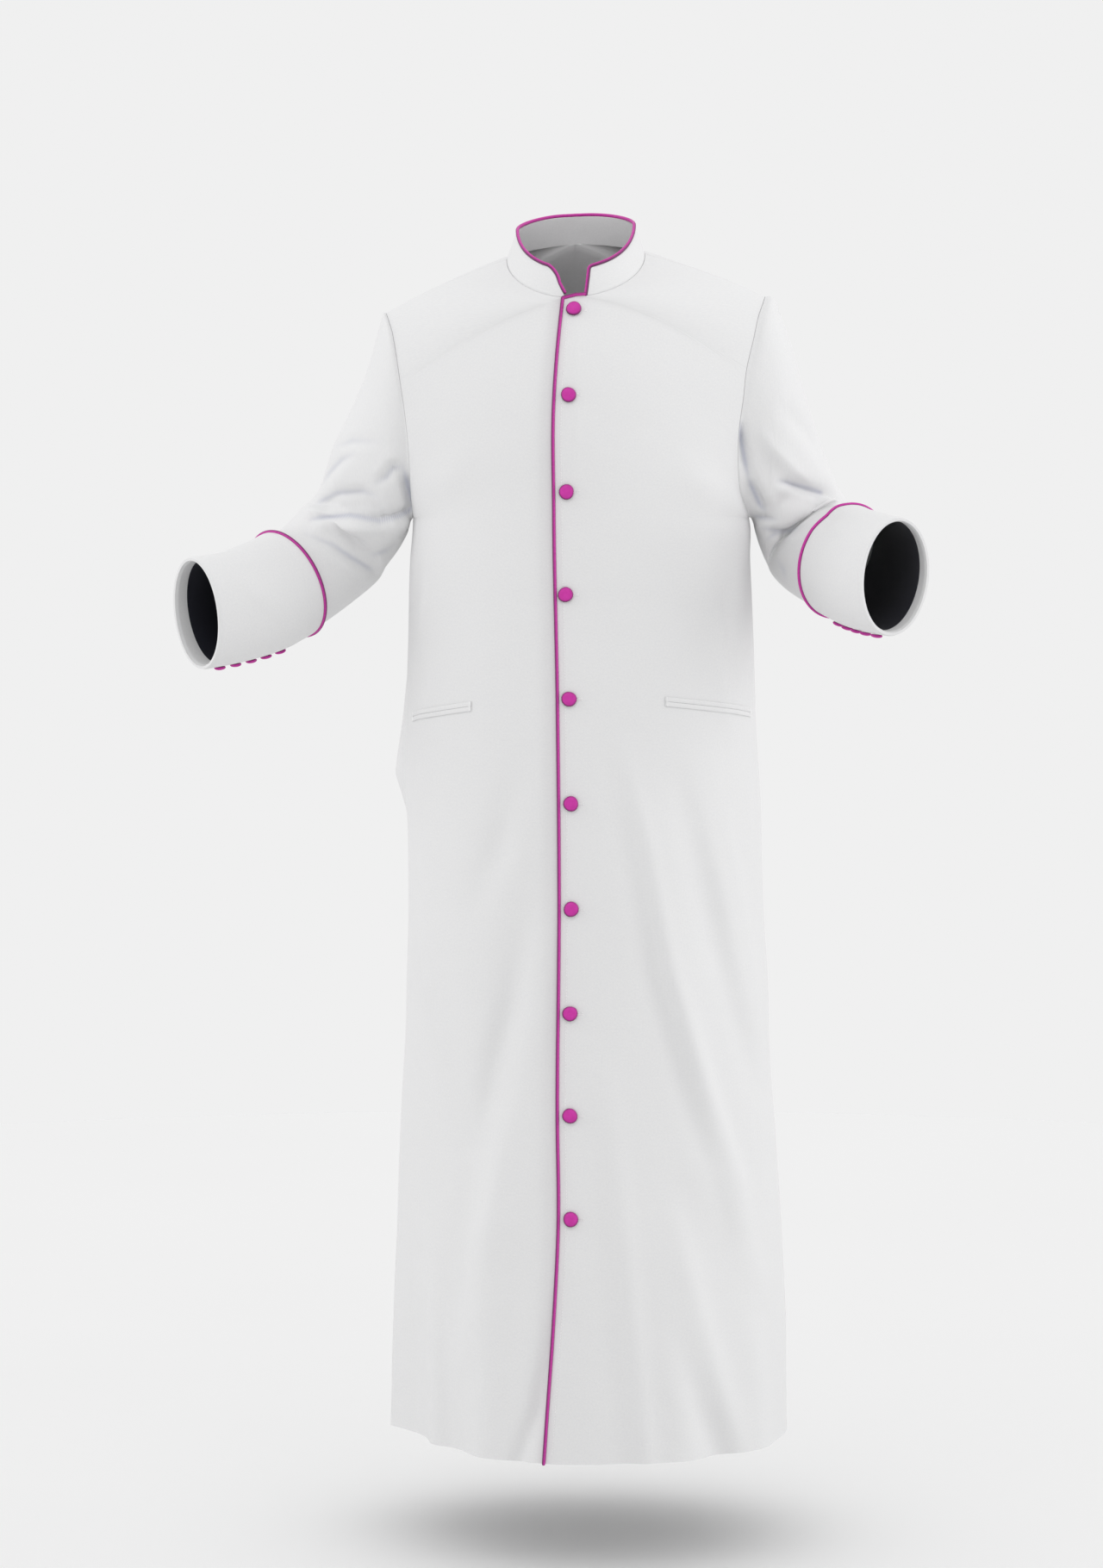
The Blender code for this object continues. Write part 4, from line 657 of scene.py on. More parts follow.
def near_path(path, across, along, across_scale=1.0, along_scale=1.0):
    """Distance of places from a path, the same signed by its side, and the path's rise nearest to them."""
    nearest = np.full(np.broadcast(across, along).shape, np.inf)
    signed = np.zeros_like(nearest)
    rise = np.zeros_like(nearest)
    for first, last in zip(path[:-1], path[1:]):
        step_x = (last[0] - first[0]) * across_scale
        step_y = (last[1] - first[1]) * along_scale
        x = (across - first[0]) * across_scale
        y = (along - first[1]) * along_scale
        share = np.clip((x * step_x + y * step_y) / (step_x**2 + step_y**2), 0, 1)
        away_x = x - share * step_x
        away_y = y - share * step_y
        distance = np.hypot(away_x, away_y)
        closer = distance < nearest
        nearest = np.where(closer, distance, nearest)
        signed = np.where(closer, distance * np.sign(step_x * away_y - step_y * away_x), signed)
        rise = np.where(closer, first[2] + share * (last[2] - first[2]), rise)
    return nearest, signed, rise


def fold_rise(fold, across, along, across_scale, along_scale):
    """Height of one soft fold at each place."""
    nearest, _, rise = near_path(fold.path, across, along, across_scale, along_scale)
    return rise * np.exp(-((nearest / fold.width) ** 2))


def crease_rise(creases, points):
    """Height of the finer creases at each point, seen along the robe's front-to-back line."""
    total = np.zeros(points.shape[:-1])
    for crease in creases:
        nearest, signed, rise = near_path(crease.path, points[..., 0], points[..., 2])
        beside = (signed * np.sign(crease.lip) - LIP_PLACE * crease.width) / (LIP_WIDTH * crease.width)
        power = PINCH_POWER if abs(crease.lip) >= PINCH_LIP else 2
        trough = np.exp(-((nearest / crease.width) ** power))
        total += CREASE_DEPTH * rise * (trough - abs(crease.lip) * np.exp(-(beside**2)))
    return total


def paint_crease_shade(piece, side):
    """Marks on a sleeve how deep each point lies in a pinched crease, as painted shade that darkens the
    cloth's colour there.
    """
    mesh = piece.data
    points = np.empty((len(mesh.vertices), 3), np.float32)
    mesh.vertices.foreach_get("co", points.reshape(-1))
    centre, _, _ = sleeve_frame(side)
    order = np.argsort(centre[:, 0])
    middle = np.interp(points[:, 0], centre[order, 0], centre[order, 1])
    total = np.zeros(len(points))
    for creases, facing in ((SLEEVE_FRONT_CREASES, FRONT), (SLEEVE_BACK_CREASES, BACK)):
        near = ease(facing * (points[:, 1] - middle) / CREASE_SHADE_FADE)
        for crease in creases:
            if crease.width > WIDEST_SHADED_CREASE:
                continue
            nearest, _, rise = near_path(crease.path, points[:, 0], points[:, 2])
            line = np.exp(-((nearest / (CREASE_SHADE_WIDTH * crease.width)) ** 2))
            total = np.maximum(total, near * line * np.clip(-rise / CREASE_SHADE_DEPTH, 0, 1))
    # The attribute "hollow" holds this painted shade for the creases' troughs
    mesh.attributes.new("hollow", "FLOAT", "POINT").data.foreach_set("value", total.astype(np.float32))


def facing_rise(points, normals, front_creases, back_creases):
    """Finer creases on the cloth that faces the front or the back, and the slow waves all over."""
    ahead = ease((-normals[..., 1] - SIDE_ON) / SIDE_FADE)
    behind = ease((normals[..., 1] - SIDE_ON) / SIDE_FADE)
    total = ahead * crease_rise(front_creases, points) + behind * crease_rise(back_creases, points)
    for across, up, phase, height in WAVES:
        turn = across * points[..., 0] + up * points[..., 2] + phase + WAVE_TURN_BACK * points[..., 1]
        total += height * np.sin(turn)
    return total


def body_rise(face, side, share, row):
    height = HEM_HEIGHT + (UNDERARM_HEIGHT - HEM_HEIGHT) * row
    total = np.zeros(np.broadcast(share, row).shape)
    for fold in FOLDS:
        if fold.face == face:
            total += fold_rise(fold, side * share, height, FOLD_GIRTH, 1.0)
    return total * ease((1 - share) / FOLD_SIDE_FADE) * ease((FOLD_TOP_ROW - row) / FOLD_TOP_FADE)


def point_numbers(grids):
    """For each grid the numbers of its points, when the grids' points follow one another."""
    starts = np.cumsum([0] + [grid.shape[0] * grid.shape[1] for grid in grids])
    return [start + np.arange(grid[..., 0].size).reshape(grid.shape[:2]) for start, grid in zip(starts, grids)]


def cell_normals(grid):
    return np.cross(grid[1:, 1:] - grid[:-1, :-1], grid[1:, :-1] - grid[:-1, 1:])


def shared_normals(grids, turns):
    """Outward normals of point grids. Grids that meet along an edge get the same normals there."""
    points = np.concatenate([grid.reshape(-1, 3) for grid in grids])
    _, same = np.unique(np.round(points, 6), axis=0, return_inverse=True)
    same = same.reshape(-1)
    sums = np.zeros((same.max() + 1, 3))
    places = point_numbers(grids)
    for grid, index, turn in zip(grids, places, turns):
        faces = turn * cell_normals(grid)
        for corner in (index[:-1, :-1], index[1:, :-1], index[:-1, 1:], index[1:, 1:]):
            np.add.at(sums, same[corner].reshape(-1), faces.reshape(-1, 3))
    normals = unit(sums)
    return [normals[same[index]] for index in places]


def front_edge_share(rows):
    """Where the left front's edge runs on the wearer's right half of the body."""
    heights = inner_edge(FRONT, RIGHT, np.minimum(rows, 1 + NECK_ROW))[:, 2]
    reach = smooth([row.height for row in FRONT_EDGE], [row.reach for row in FRONT_EDGE], heights)
    return share_at(FRONT, RIGHT, np.minimum(rows, 1 + NECK_ROW), reach)


Half = namedtuple("Half", "points normals columns")


def body_rows():
    return np.concatenate([np.linspace(0, 1, SKIRT_ROWS)[:-1], 1 + CHEST_ROWS])


def neck_row_index():
    return SKIRT_ROWS - 1 + NECK_STEPS


def columns_from(edge):
    """Column shares for each row: a few from the centre to the lap's edge, then even ones to the side."""
    edge = edge[:, None]
    lap = edge * np.linspace(0, 1, LAP_COLUMNS + 1)[:-1]
    return np.concatenate([lap, edge + (1 - edge) * np.linspace(0, 1, PANEL_COLUMNS)], axis=1)


def body_halves():
    """The four quarters of the body as grids of rows and columns, with normals that agree at every seam."""
    rows = body_rows()
    plain = columns_from(np.full(len(rows), UNDERLAP_ROW))
    settled = ease((rows - 1 - NECK_ROW) / (1 - NECK_ROW))
    lapped = columns_from(front_edge_share(rows) * (1 - settled) + UNDERLAP_ROW * settled)
    quarters = ((FRONT, RIGHT, lapped), (FRONT, LEFT, plain), (BACK, RIGHT, plain), (BACK, LEFT, plain))
    turns = [-face * side for face, side, _ in quarters]
    grids = [body(face, side, columns, rows[:, None]) for face, side, columns in quarters]
    normals = shared_normals(grids, turns)
    folded = [
        grid + normal * body_rise(face, side, columns, rows[:, None])[..., None]
        for grid, normal, (face, side, columns) in zip(grids, normals, quarters)
    ]
    normals = shared_normals(folded, turns)
    folded = [
        grid + normal * facing_rise(grid, normal, FRONT_CREASES, BACK_CREASES)[..., None]
        for grid, normal in zip(folded, normals)
    ]
    normals = shared_normals(folded, turns)
    return {
        (face, side): Half(grid, normal, columns)
        for (face, side, columns), grid, normal in zip(quarters, folded, normals)
    }


def armhole_loop(halves, side):
    """The armhole seam from the shoulder down the front and up the back, with cloth normals and ways out."""
    front, back = (halves[(face, side)] for face in (FRONT, BACK))

    def round_armhole(ahead, behind, column):
        ahead, behind = (grid[SKIRT_ROWS - 1:, column] for grid in (ahead, behind))
        return np.concatenate([ahead[::-1], behind[1:-1]])

    points = round_armhole(front.points, back.points, -1)
    normals = round_armhole(front.normals, back.normals, -1)
    beside = round_armhole(front.points, back.points, -2)
    along = np.roll(points, -1, axis=0) - np.roll(points, 1, axis=0)
    ways_out = unit(np.cross(along, normals))
    facing = np.sign(np.sum(ways_out * (points - beside), axis=-1).sum())
    return points, normals, ways_out * facing


def loop_turns():
    return math.pi * np.concatenate([1 - CHEST_ROWS[::-1], 1 + CHEST_ROWS[1:-1]])


def sleeve_frame(side):
    """Centre, reach towards the outer line and reach towards the front, for each ring of a sleeve."""
    rings = RIGHT_SLEEVE if side == RIGHT else LEFT_SLEEVE
    shoulder, underarm = body(FRONT, side, 1.0, np.array([2.0, 1.0]))
    outer = np.array([shoulder] + [ring.outer for ring in rings])
    inner = np.array([underarm] + [ring.inner for ring in rings])
    depths = np.array([ARMHOLE_HALF_DEPTH] + [ring.half_depth for ring in rings])
    facing = np.radians([0.0] + [ring.facing for ring in rings])
    reach = (outer - inner) / 2
    forward = stack(-side * np.sin(facing), -np.cos(facing), 0.0)
    upright = unit(reach)
    forward = unit(forward - upright * np.sum(forward * upright, axis=-1, keepdims=True))
    return (outer + inner) / 2, reach, forward * depths[:, None]


def sleeve(side, turns, rings, loop):
    """Sleeve points, a row for each ring and a column for each turn; ring 0 is the armhole seam itself."""
    keys = np.arange(len(RIGHT_SLEEVE) + 1.0)
    centre, reach, forward = sleeve_frame(side)
    start = centre[0] + np.cos(turns)[:, None] * reach[0] + np.sin(turns)[:, None] * forward[0]
    centre, reach, forward = (smooth(keys, values, rings)[:, None] for values in (centre, reach, forward))
    points = centre + np.cos(turns)[:, None] * reach + np.sin(turns)[:, None] * forward
    settle = ease(1 - rings / RINGS_TO_SETTLE)[:, None, None]
    return points + settle * (loop - start)


def sleeve_rise(side, turns, rings):
    way = (turns / math.pi + 1) % 2 - 1
    total = np.zeros((len(rings), len(turns)))
    for fold in SLEEVE_FOLDS:
        if fold.side == side:
            for lap in (-2, 0, 2):
                total += fold_rise(fold, way + lap, rings[:, None], SLEEVE_GIRTH, SLEEVE_RING_LENGTH)
    starts = ease(rings / SLEEVE_FOLD_START)
    stops = ease((SLEEVE_FOLD_STOP - rings) / SLEEVE_FOLD_FADE)
    return total * starts[:, None] * stops[:, None]


def tube_normals(grid, along):
    """Outward normals of a tube's rings, from the way along the cloth at each point."""
    across = np.roll(grid, -1, axis=1) - np.roll(grid, 1, axis=1)
    normals = unit(np.cross(across, along))
    return normals * np.sign(np.sum(normals * (grid - grid.mean(axis=1, keepdims=True))))


def sleeve_surface(side, turns, rings, loop):
    """Sleeve points with their folds, and the outward normal at each."""
    rings = np.asarray(rings, float)

    def folded(at):
        at = np.clip(at, 0, len(RIGHT_SLEEVE))
        grid = sleeve(side, turns, at, loop)
        along = sleeve(side, turns, at + RING_STEP, loop) - sleeve(side, turns, at - RING_STEP, loop)
        normals = tube_normals(grid, along)
        creases = facing_rise(grid, normals, SLEEVE_FRONT_CREASES, SLEEVE_BACK_CREASES)
        rise = sleeve_rise(side, turns, at) + creases * ease(at / ARMHOLE_CREASE_FADE)[:, None]
        return grid + normals * rise[..., None]

    grid = folded(rings)
    return grid, tube_normals(grid, folded(rings + RING_STEP) - folded(rings - RING_STEP))


def ring_round(grid):
    return np.concatenate([grid, grid[:, :1]], axis=1)


def tube_turn(grid):
    wide = ring_round(grid)
    outward = wide[1:, 1:] - grid.mean(axis=1, keepdims=True)[1:]
    return np.sign(np.sum(cell_normals(wide) * outward))


def lifted(side, turns, loop, rings, lifts):
    """Points lifted off the sleeve's surface, at a ring and a lift for each row, and the normals there."""
    grid, normals = sleeve_surface(side, turns, rings, loop)
    return grid + normals * np.asarray(lifts)[:, None, None], normals


def offset_path(points, normals, distance, away_from):
    """A path beside an edge, kept at one distance from it round corners, on the side away from a point."""
    steps = unit(np.diff(points, axis=0))
    across = unit(np.cross(np.concatenate([steps[:1], steps]), normals))
    across_after = unit(np.cross(np.concatenate([steps, steps[-1:]]), normals))
    middle = unit(across + across_after)
    stretch = 1 / np.clip(np.sum(middle * across, axis=-1, keepdims=True), TIGHTEST_CORNER, 1.0)
    sign = np.sign(np.sum(middle * (points - away_from)))
    return points + sign * distance * stretch * middle


def trim_seams(grid, half_gap=GAP / 2):
    """Draws the side seam and shoulder seam edges of a grid back a little, along the cloth."""
    trimmed = grid.copy()
    trimmed[:, -1] += half_gap * unit(grid[:, -2] - grid[:, -1])
    trimmed[-1] += half_gap * unit(grid[-2] - grid[-1])
    return trimmed


def cloth_lengths(grid):
    """Distance along the cloth from a grid's first column and first row, in metres, for each point."""
    whole = np.where(np.isnan(grid), 0.0, grid)
    across = np.linalg.norm(np.diff(whole, axis=1), axis=-1)
    along = np.linalg.norm(np.diff(whole, axis=0), axis=-1)
    across = np.concatenate([np.zeros((len(grid), 1)), np.cumsum(across, axis=1)], axis=1)
    along = np.concatenate([np.zeros((1, grid.shape[1])), np.cumsum(along, axis=0)], axis=0)
    return np.stack([across, along], axis=-1)


def wall_mesh(grids, turns):
    """Points, faces and cloth lengths of a closed wall from pairs of outer and inner grids."""
    outer = np.concatenate([pair[0].reshape(-1, 3) for pair in grids])
    inner = np.concatenate([pair[1].reshape(-1, 3) for pair in grids])
    lengths = np.concatenate([cloth_lengths(pair[0]).reshape(-1, 2) for pair in grids])
    quads = []
    for index, turn in zip(point_numbers([pair[0] for pair in grids]), turns):
        corners = [index[:-1, :-1], index[:-1, 1:], index[1:, 1:], index[1:, :-1]]
        cells = np.stack(corners, axis=-1).reshape(-1, 4)
        cells = cells[~np.isnan(outer[cells]).any(axis=(1, 2))]
        quads.append(cells if turn > 0 else cells[:, ::-1])
    raw = np.concatenate(quads)
    used = np.unique(raw)
    _, chosen, same = np.unique(np.round(outer[used], 6), axis=0, return_index=True, return_inverse=True)
    new = np.full(len(outer), -1)
    new[used] = same.reshape(-1)
    quads = new[raw]
    outer = outer[used][chosen]
    inner = inner[used][chosen]
    count = len(outer)
    place = {}
    edges = np.stack([quads, np.roll(quads, -1, axis=1)], axis=-1).reshape(-1, 2)
    raw_edges = np.stack([raw, np.roll(raw, -1, axis=1)], axis=-1).reshape(-1, 2)
    for edge, raw_edge in zip(edges.tolist(), raw_edges.tolist()):
        place[tuple(edge)] = raw_edge
    rim = [(edge, raw_edge) for edge, raw_edge in place.items() if (edge[1], edge[0]) not in place]
    faces = quads.tolist() + (quads[:, ::-1] + count).tolist()
    faces += [(b, a, a + count, b + count) for (a, b), _ in rim]
    corners = [lengths[raw].reshape(-1, 2), lengths[raw[:, ::-1]].reshape(-1, 2)]
    corners += [lengths[[b, a, a, b]] for _, (a, b) in rim]
    return np.concatenate([outer, inner]), faces, np.concatenate(corners)


def linear(hex_colour):
    """An sRGB hex colour as the linear colour that shaders take."""
    parts = [int(hex_colour[place:place + 2], 16) / 255 for place in (1, 3, 5)]
    levels = [part / 12.92 if part <= 0.04045 else ((part + 0.055) / 1.055) ** 2.4 for part in parts]
    return (*levels, 1.0)


def give(tree, target, value):
    """Links an output to an input, or sets the input to a value."""
    if isinstance(value, bpy.types.NodeSocket):
        tree.links.new(value, target)
    else:
        target.default_value = value


def node(tree, kind, settings=None, **links):
    """Adds a node. A link or value goes by its input's name, with _ for a space, or by i and its number."""
    made = tree.nodes.new(kind)
    for name, value in (settings or {}).items():
        if name == "ramp":
            for element, (place, colour) in zip(made.color_ramp.elements, value):
                element.position = place
                element.color = linear(colour)
        else:
            setattr(made, name, value)
    for name, value in links.items():
        numbered = name[0] == "i" and name[1:].isdigit()
        give(tree, made.inputs[int(name[1:]) if numbered else name.replace("_", " ")], value)
    return made


def new_material(name, roughness, sheen=0.0, specular=0.5):
    made = bpy.data.materials.new(name)
    made.use_nodes = True
    shader = made.node_tree.nodes["Principled BSDF"]
    look = {"Roughness": roughness, "Metallic": 0.0, "Sheen Weight": sheen, "Sheen Roughness": 0.5,
            "Specular IOR Level": specular}
    for entry, value in look.items():
        shader.inputs[entry].default_value = value
    return made, made.node_tree


def with_look(made, colour, bump=None):
    """A finish with its colour and its bump tied in."""
    inputs = made.node_tree.nodes["Principled BSDF"].inputs
    give(made.node_tree, inputs["Base Color"], colour)
    if bump:
        give(made.node_tree, inputs["Normal"], bump.outputs["Normal"])
    return made


def slanting_lines(tree, step):
    """The cloth's own coordinates, whole and apart, and fine lines that slant across them, one each step."""
    cloth = node(tree, "ShaderNodeUVMap", {"uv_map": "cloth"}).outputs["UV"]
    apart = node(tree, "ShaderNodeSeparateXYZ", Vector=cloth).outputs
    slant = node(tree, "ShaderNodeMath", {"operation": "ADD"}, i0=apart["X"], i1=apart["Y"])
    turns = node(tree, "ShaderNodeMath", {"operation": "MULTIPLY"}, i0=slant.outputs[0], i1=math.tau / step)
    lines = node(tree, "ShaderNodeMath", {"operation": "SINE"}, i0=turns.outputs[0])
    return cloth, apart, lines.outputs[0]


def robe_cloth():
    """Plain-woven suiting of polyester and wool: matt, off-white, its threads coarse enough to show, with
    painted shade in the sleeves' pinched creases.
    """
    made, tree = new_material("woven_robe_cloth", 0.82, sheen=0.12, specular=0.25)
    cloth = node(tree, "ShaderNodeUVMap", {"uv_map": "cloth"}).outputs["UV"]
    apart = node(tree, "ShaderNodeSeparateXYZ", Vector=cloth)
    threads = []
    for axis in ("X", "Y"):
        turns = node(tree, "ShaderNodeMath", {"operation": "MULTIPLY"}, i0=apart.outputs[axis],
                     i1=math.tau / THREAD_STEP)
        wave = node(tree, "ShaderNodeMath", {"operation": "SINE"}, i0=turns.outputs[0])
        threads.append(wave.outputs[0])
    woven = node(tree, "ShaderNodeMath", {"operation": "MULTIPLY"}, i0=threads[0], i1=threads[1])
    slubs = node(tree, "ShaderNodeTexNoise", Vector=cloth, Scale=SLUB_SCALE, Detail=3.0, Roughness=0.6)
    rumple = node(tree, "ShaderNodeTexNoise", Vector=cloth, Scale=RUMPLE_SCALE, Detail=2.0, Roughness=0.5)
    surface = node(tree, "ShaderNodeMath", {"operation": "MULTIPLY_ADD"}, i0=woven.outputs[0], i1=0.25,
                   i2=slubs.outputs["Fac"])
    fine = node(tree, "ShaderNodeBump", Strength=0.10, Distance=0.0006, Height=surface.outputs[0])
    soft = node(tree, "ShaderNodeBump", Strength=0.25, Distance=0.0030, Height=rumple.outputs["Fac"],
                Normal=fine.outputs["Normal"])
    shade = node(tree, "ShaderNodeValToRGB", {"ramp": ((0.3, "#DBDBDC"), (0.7, "#E0E0E0"))},
                 Fac=slubs.outputs["Fac"])
    # Painted shade: the "hollow" attribute darkens the sleeves' crease troughs towards a blue grey
    hollow = node(tree, "ShaderNodeAttribute", {"attribute_name": "hollow"})
    shaded = node(tree, "ShaderNodeMix", {"data_type": "RGBA"}, i0=hollow.outputs["Fac"],
                  i6=shade.outputs["Color"], i7=linear("#BEC0CA"))
    return with_look(made, shaded.outputs[2], soft)


def bias_satin():
    """Magenta satin cut on the bias: a soft gloss, fine slanting ribs, and painted shadow down the side of the
    cord that goes into its seam.
    """
    made, tree = new_material("magenta_bias_satin", 0.45, sheen=0.08, specular=0.35)
    cloth, apart, ribs = slanting_lines(tree, SATIN_RIB_STEP)
    uneven = node(tree, "ShaderNodeTexNoise", Vector=cloth, Scale=SLUB_SCALE, Detail=2.0)
    raised = node(tree, "ShaderNodeMath", {"operation": "MULTIPLY_ADD"}, i0=ribs, i1=0.3,
                  i2=uneven.outputs["Fac"])
    bump = node(tree, "ShaderNodeBump", Strength=0.20, Distance=0.0004, Height=raised.outputs[0])
    shade = node(tree, "ShaderNodeValToRGB", {"ramp": ((0.25, "#B52A90"), (0.75, "#CB38A4"))},
                 Fac=uneven.outputs["Fac"])
    # Painted shadow: one side of the cord darkens towards a deep purple, as if in shadow where it meets the
    # cloth
    round_cord = node(tree, "ShaderNodeMath", {"operation": "MULTIPLY"}, i0=apart["X"], i1=1 / PIPING_RADIUS)
    side = node(tree, "ShaderNodeMath", {"operation": "COSINE"}, i0=round_cord.outputs[0])
    painted_seam_shadow = node(tree, "ShaderNodeMapRange", Value=side.outputs[0], From_Min=SEAM_SHADOW_START,
                        From_Max=-1.0)
    shaded = node(tree, "ShaderNodeMix", {"data_type": "RGBA"}, i0=painted_seam_shadow.outputs["Result"],
                  i6=shade.outputs["Color"], i7=linear("#601952"))
    return with_look(made, shaded.outputs[2], bump)


def button_satin():
    """The same satin drawn smooth over a button: evener, with only its fine ribs, and painted shade round its
    rim.
    """
    made, tree = new_material("magenta_button_satin", 0.5, sheen=0.08, specular=0.3)
    place = node(tree, "ShaderNodeTexCoord").outputs["Object"]
    ribs = node(tree, "ShaderNodeTexWave", {"bands_direction": "DIAGONAL"}, Vector=place,
                Scale=BUTTON_RIB_SCALE, Distortion=1.5, Detail=1.0)
    uneven = node(tree, "ShaderNodeTexNoise", Vector=place, Scale=BUTTON_UNEVEN_SCALE, Detail=2.0)
    bump = node(tree, "ShaderNodeBump", Strength=0.12, Distance=0.0003, Height=ribs.outputs["Fac"])
    shade = node(tree, "ShaderNodeValToRGB", {"ramp": ((0.3, "#BC2A96"), (0.7, "#C632A0"))},
                 Fac=uneven.outputs["Fac"])
    # Painted shade: the button's "rim" attribute darkens it towards a deep purple
    rim = node(tree, "ShaderNodeAttribute", {"attribute_name": "rim"})
    shaded = node(tree, "ShaderNodeMix", {"data_type": "RGBA"}, i0=rim.outputs["Fac"],
                  i6=shade.outputs["Color"], i7=linear("#4F1042"))
    return with_look(made, shaded.outputs[2], bump)


def dark_lining():
    """Navy twill lining: nearly black, with a faint gloss along its slanting twill lines."""
    made, tree = new_material("navy_twill_lining", 0.5, sheen=0.1)
    cloth, _, lines = slanting_lines(tree, TWILL_STEP)
    bump = node(tree, "ShaderNodeBump", Strength=0.2, Distance=0.0003, Height=lines)
    mottle = node(tree, "ShaderNodeTexNoise", Vector=cloth, Scale=SLUB_SCALE)
    shade = node(tree, "ShaderNodeValToRGB", {"ramp": ((0.0, "#12131C"), (1.0, "#20212E"))},
                 Fac=mottle.outputs["Fac"])
    return with_look(made, shade.outputs["Color"], bump)


def sewing_thread():
    """White polyester sewing thread: a little brighter and glossier than the cloth, its twist as bump."""
    made, tree = new_material("white_sewing_thread", 0.45, sheen=0.1)
    place = node(tree, "ShaderNodeTexCoord").outputs["Object"]
    twist = node(tree, "ShaderNodeTexWave", {"bands_direction": "DIAGONAL"}, Vector=place,
                 Scale=THREAD_TWIST_SCALE)
    bump = node(tree, "ShaderNodeBump", Strength=0.2, Distance=0.0002, Height=twist.outputs["Fac"])
    return with_look(made, linear("#F2F2F2"), bump)


def pale_ground():
    """Matt studio paper, with the faintest mottle."""
    made, tree = new_material("pale_studio_paper", 0.9, specular=0.1)
    place = node(tree, "ShaderNodeTexCoord").outputs["Object"]
    mottle = node(tree, "ShaderNodeTexNoise", Vector=place, Scale=1.5)
    shade = node(tree, "ShaderNodeValToRGB", {"ramp": ((0.0, "#F7F7F7"), (1.0, "#F9F9F9"))},
                 Fac=mottle.outputs["Fac"])
    return with_look(made, shade.outputs["Color"])


def show(name, data):
    """Puts a mesh, a curve, a lamp or the camera into the scene."""
    made = bpy.data.objects.new(name, data)
    bpy.context.scene.collection.objects.link(made)
    return made


def add_mesh(name, points, faces, finish, lengths=None, sharp_angle=60):
    mesh = bpy.data.meshes.new(name)
    mesh.from_pydata(np.asarray(points).tolist(), [], faces)
    if lengths is not None:
        mesh.uv_layers.new(name="cloth").data.foreach_set("uv", np.asarray(lengths, np.float32).reshape(-1))
    mesh.update()
    mesh.shade_smooth()
    mesh.set_sharp_from_angle(angle=math.radians(sharp_angle))
    mesh.materials.append(finish)
    return show(name, mesh)


def dress(piece, nodes):
    """Ties a finished piece to the robe's body, in place of its plain solids."""
    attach(piece, "root")
    if nodes:
        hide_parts(*nodes)
    return piece


def add_cord(name, path, radius, finish, closed=False, sides=14):
    """A round cord along a path, with rounded ends, made of rings that never twist."""
    path = np.asarray(path)
    if closed:
        along = unit(np.roll(path, -1, axis=0) - np.roll(path, 1, axis=0))
    else:
        along = unit(np.gradient(path, axis=0))
    across = np.zeros_like(path)
    across[0] = unit(np.cross(along[0], FIRST_SIDE))
    for place in range(1, len(path)):
        kept = across[place - 1] - along[place] * np.dot(across[place - 1], along[place])
        across[place] = unit(kept)
    up = np.cross(along, across)
    if closed:
        final = across[-1] - along[0] * np.dot(across[-1], along[0])
        spare = math.atan2(np.dot(final, up[0]), np.dot(final, across[0]))
        angle = -spare * np.arange(len(path))[:, None] / len(path)
        across, up = np.cos(angle) * across + np.sin(angle) * up, np.cos(angle) * up - np.sin(angle) * across
    centres, radii = path, np.full(len(path), radius)
    if not closed:
        count = len(CORD_CAPS)
        depth = radius * np.sqrt(1 - CORD_CAPS**2)[:, None]
        centres = np.concatenate([path[0] - depth * along[0], path, path[-1] + depth[::-1] * along[-1]])
        radii = np.concatenate([radius * CORD_CAPS, radii, radius * CORD_CAPS[::-1]])
        across = np.concatenate([across[:1]] * count + [across] + [across[-1:]] * count)
        up = np.concatenate([up[:1]] * count + [up] + [up[-1:]] * count)
    turn = np.linspace(0, math.tau, sides, endpoint=False)
    rings = centres[:, None] + radii[:, None, None] * (
        np.cos(turn)[:, None] * across[:, None] + np.sin(turn)[:, None] * up[:, None])
    count = len(centres)
    index = np.arange(count * sides).reshape(count, sides)
    below, above = (index, np.roll(index, -1, axis=0)) if closed else (index[:-1], index[1:])
    corners = [below, np.roll(below, -1, axis=1), np.roll(above, -1, axis=1), above]
    faces = np.stack(corners, axis=-1).reshape(-1, 4)
    run = run_along(centres)
    girth = np.arange(sides + 1) * math.tau * radius / sides
    rows = len(below)
    ends = np.append(run, run[-1] + np.linalg.norm(centres[0] - centres[-1]))[:rows + 1]
    near, far = girth[None, :-1], girth[None, 1:]
    first, last = ends[:-1, None], ends[1:, None]
    pairs = ((near, first), (far, first), (far, last), (near, last))
    cells = [np.stack(np.broadcast_arrays(*pair), axis=-1) for pair in pairs]
    lengths = np.stack(cells, axis=2).reshape(-1, 2)
    piece = add_mesh(name, rings.reshape(-1, 3), faces.tolist(), finish, lengths)
    if not closed:
        shape = bmesh.new()
        shape.from_mesh(piece.data)
        bmesh.ops.remove_doubles(shape, verts=shape.verts, dist=MERGE_CORD)
        shape.to_mesh(piece.data)
        shape.free()
    return piece


def add_wall(name, pairs, turns, finish):
    """A closed wall of cloth from pairs of outer and inner grids."""
    points, faces, lengths = wall_mesh(pairs, turns)
    return add_mesh(name, points, faces, finish, lengths)


def add_tube(name, outer, inner, finish):
    return add_wall(name, [(ring_round(outer), ring_round(inner))], [tube_turn(outer[:2])], finish)


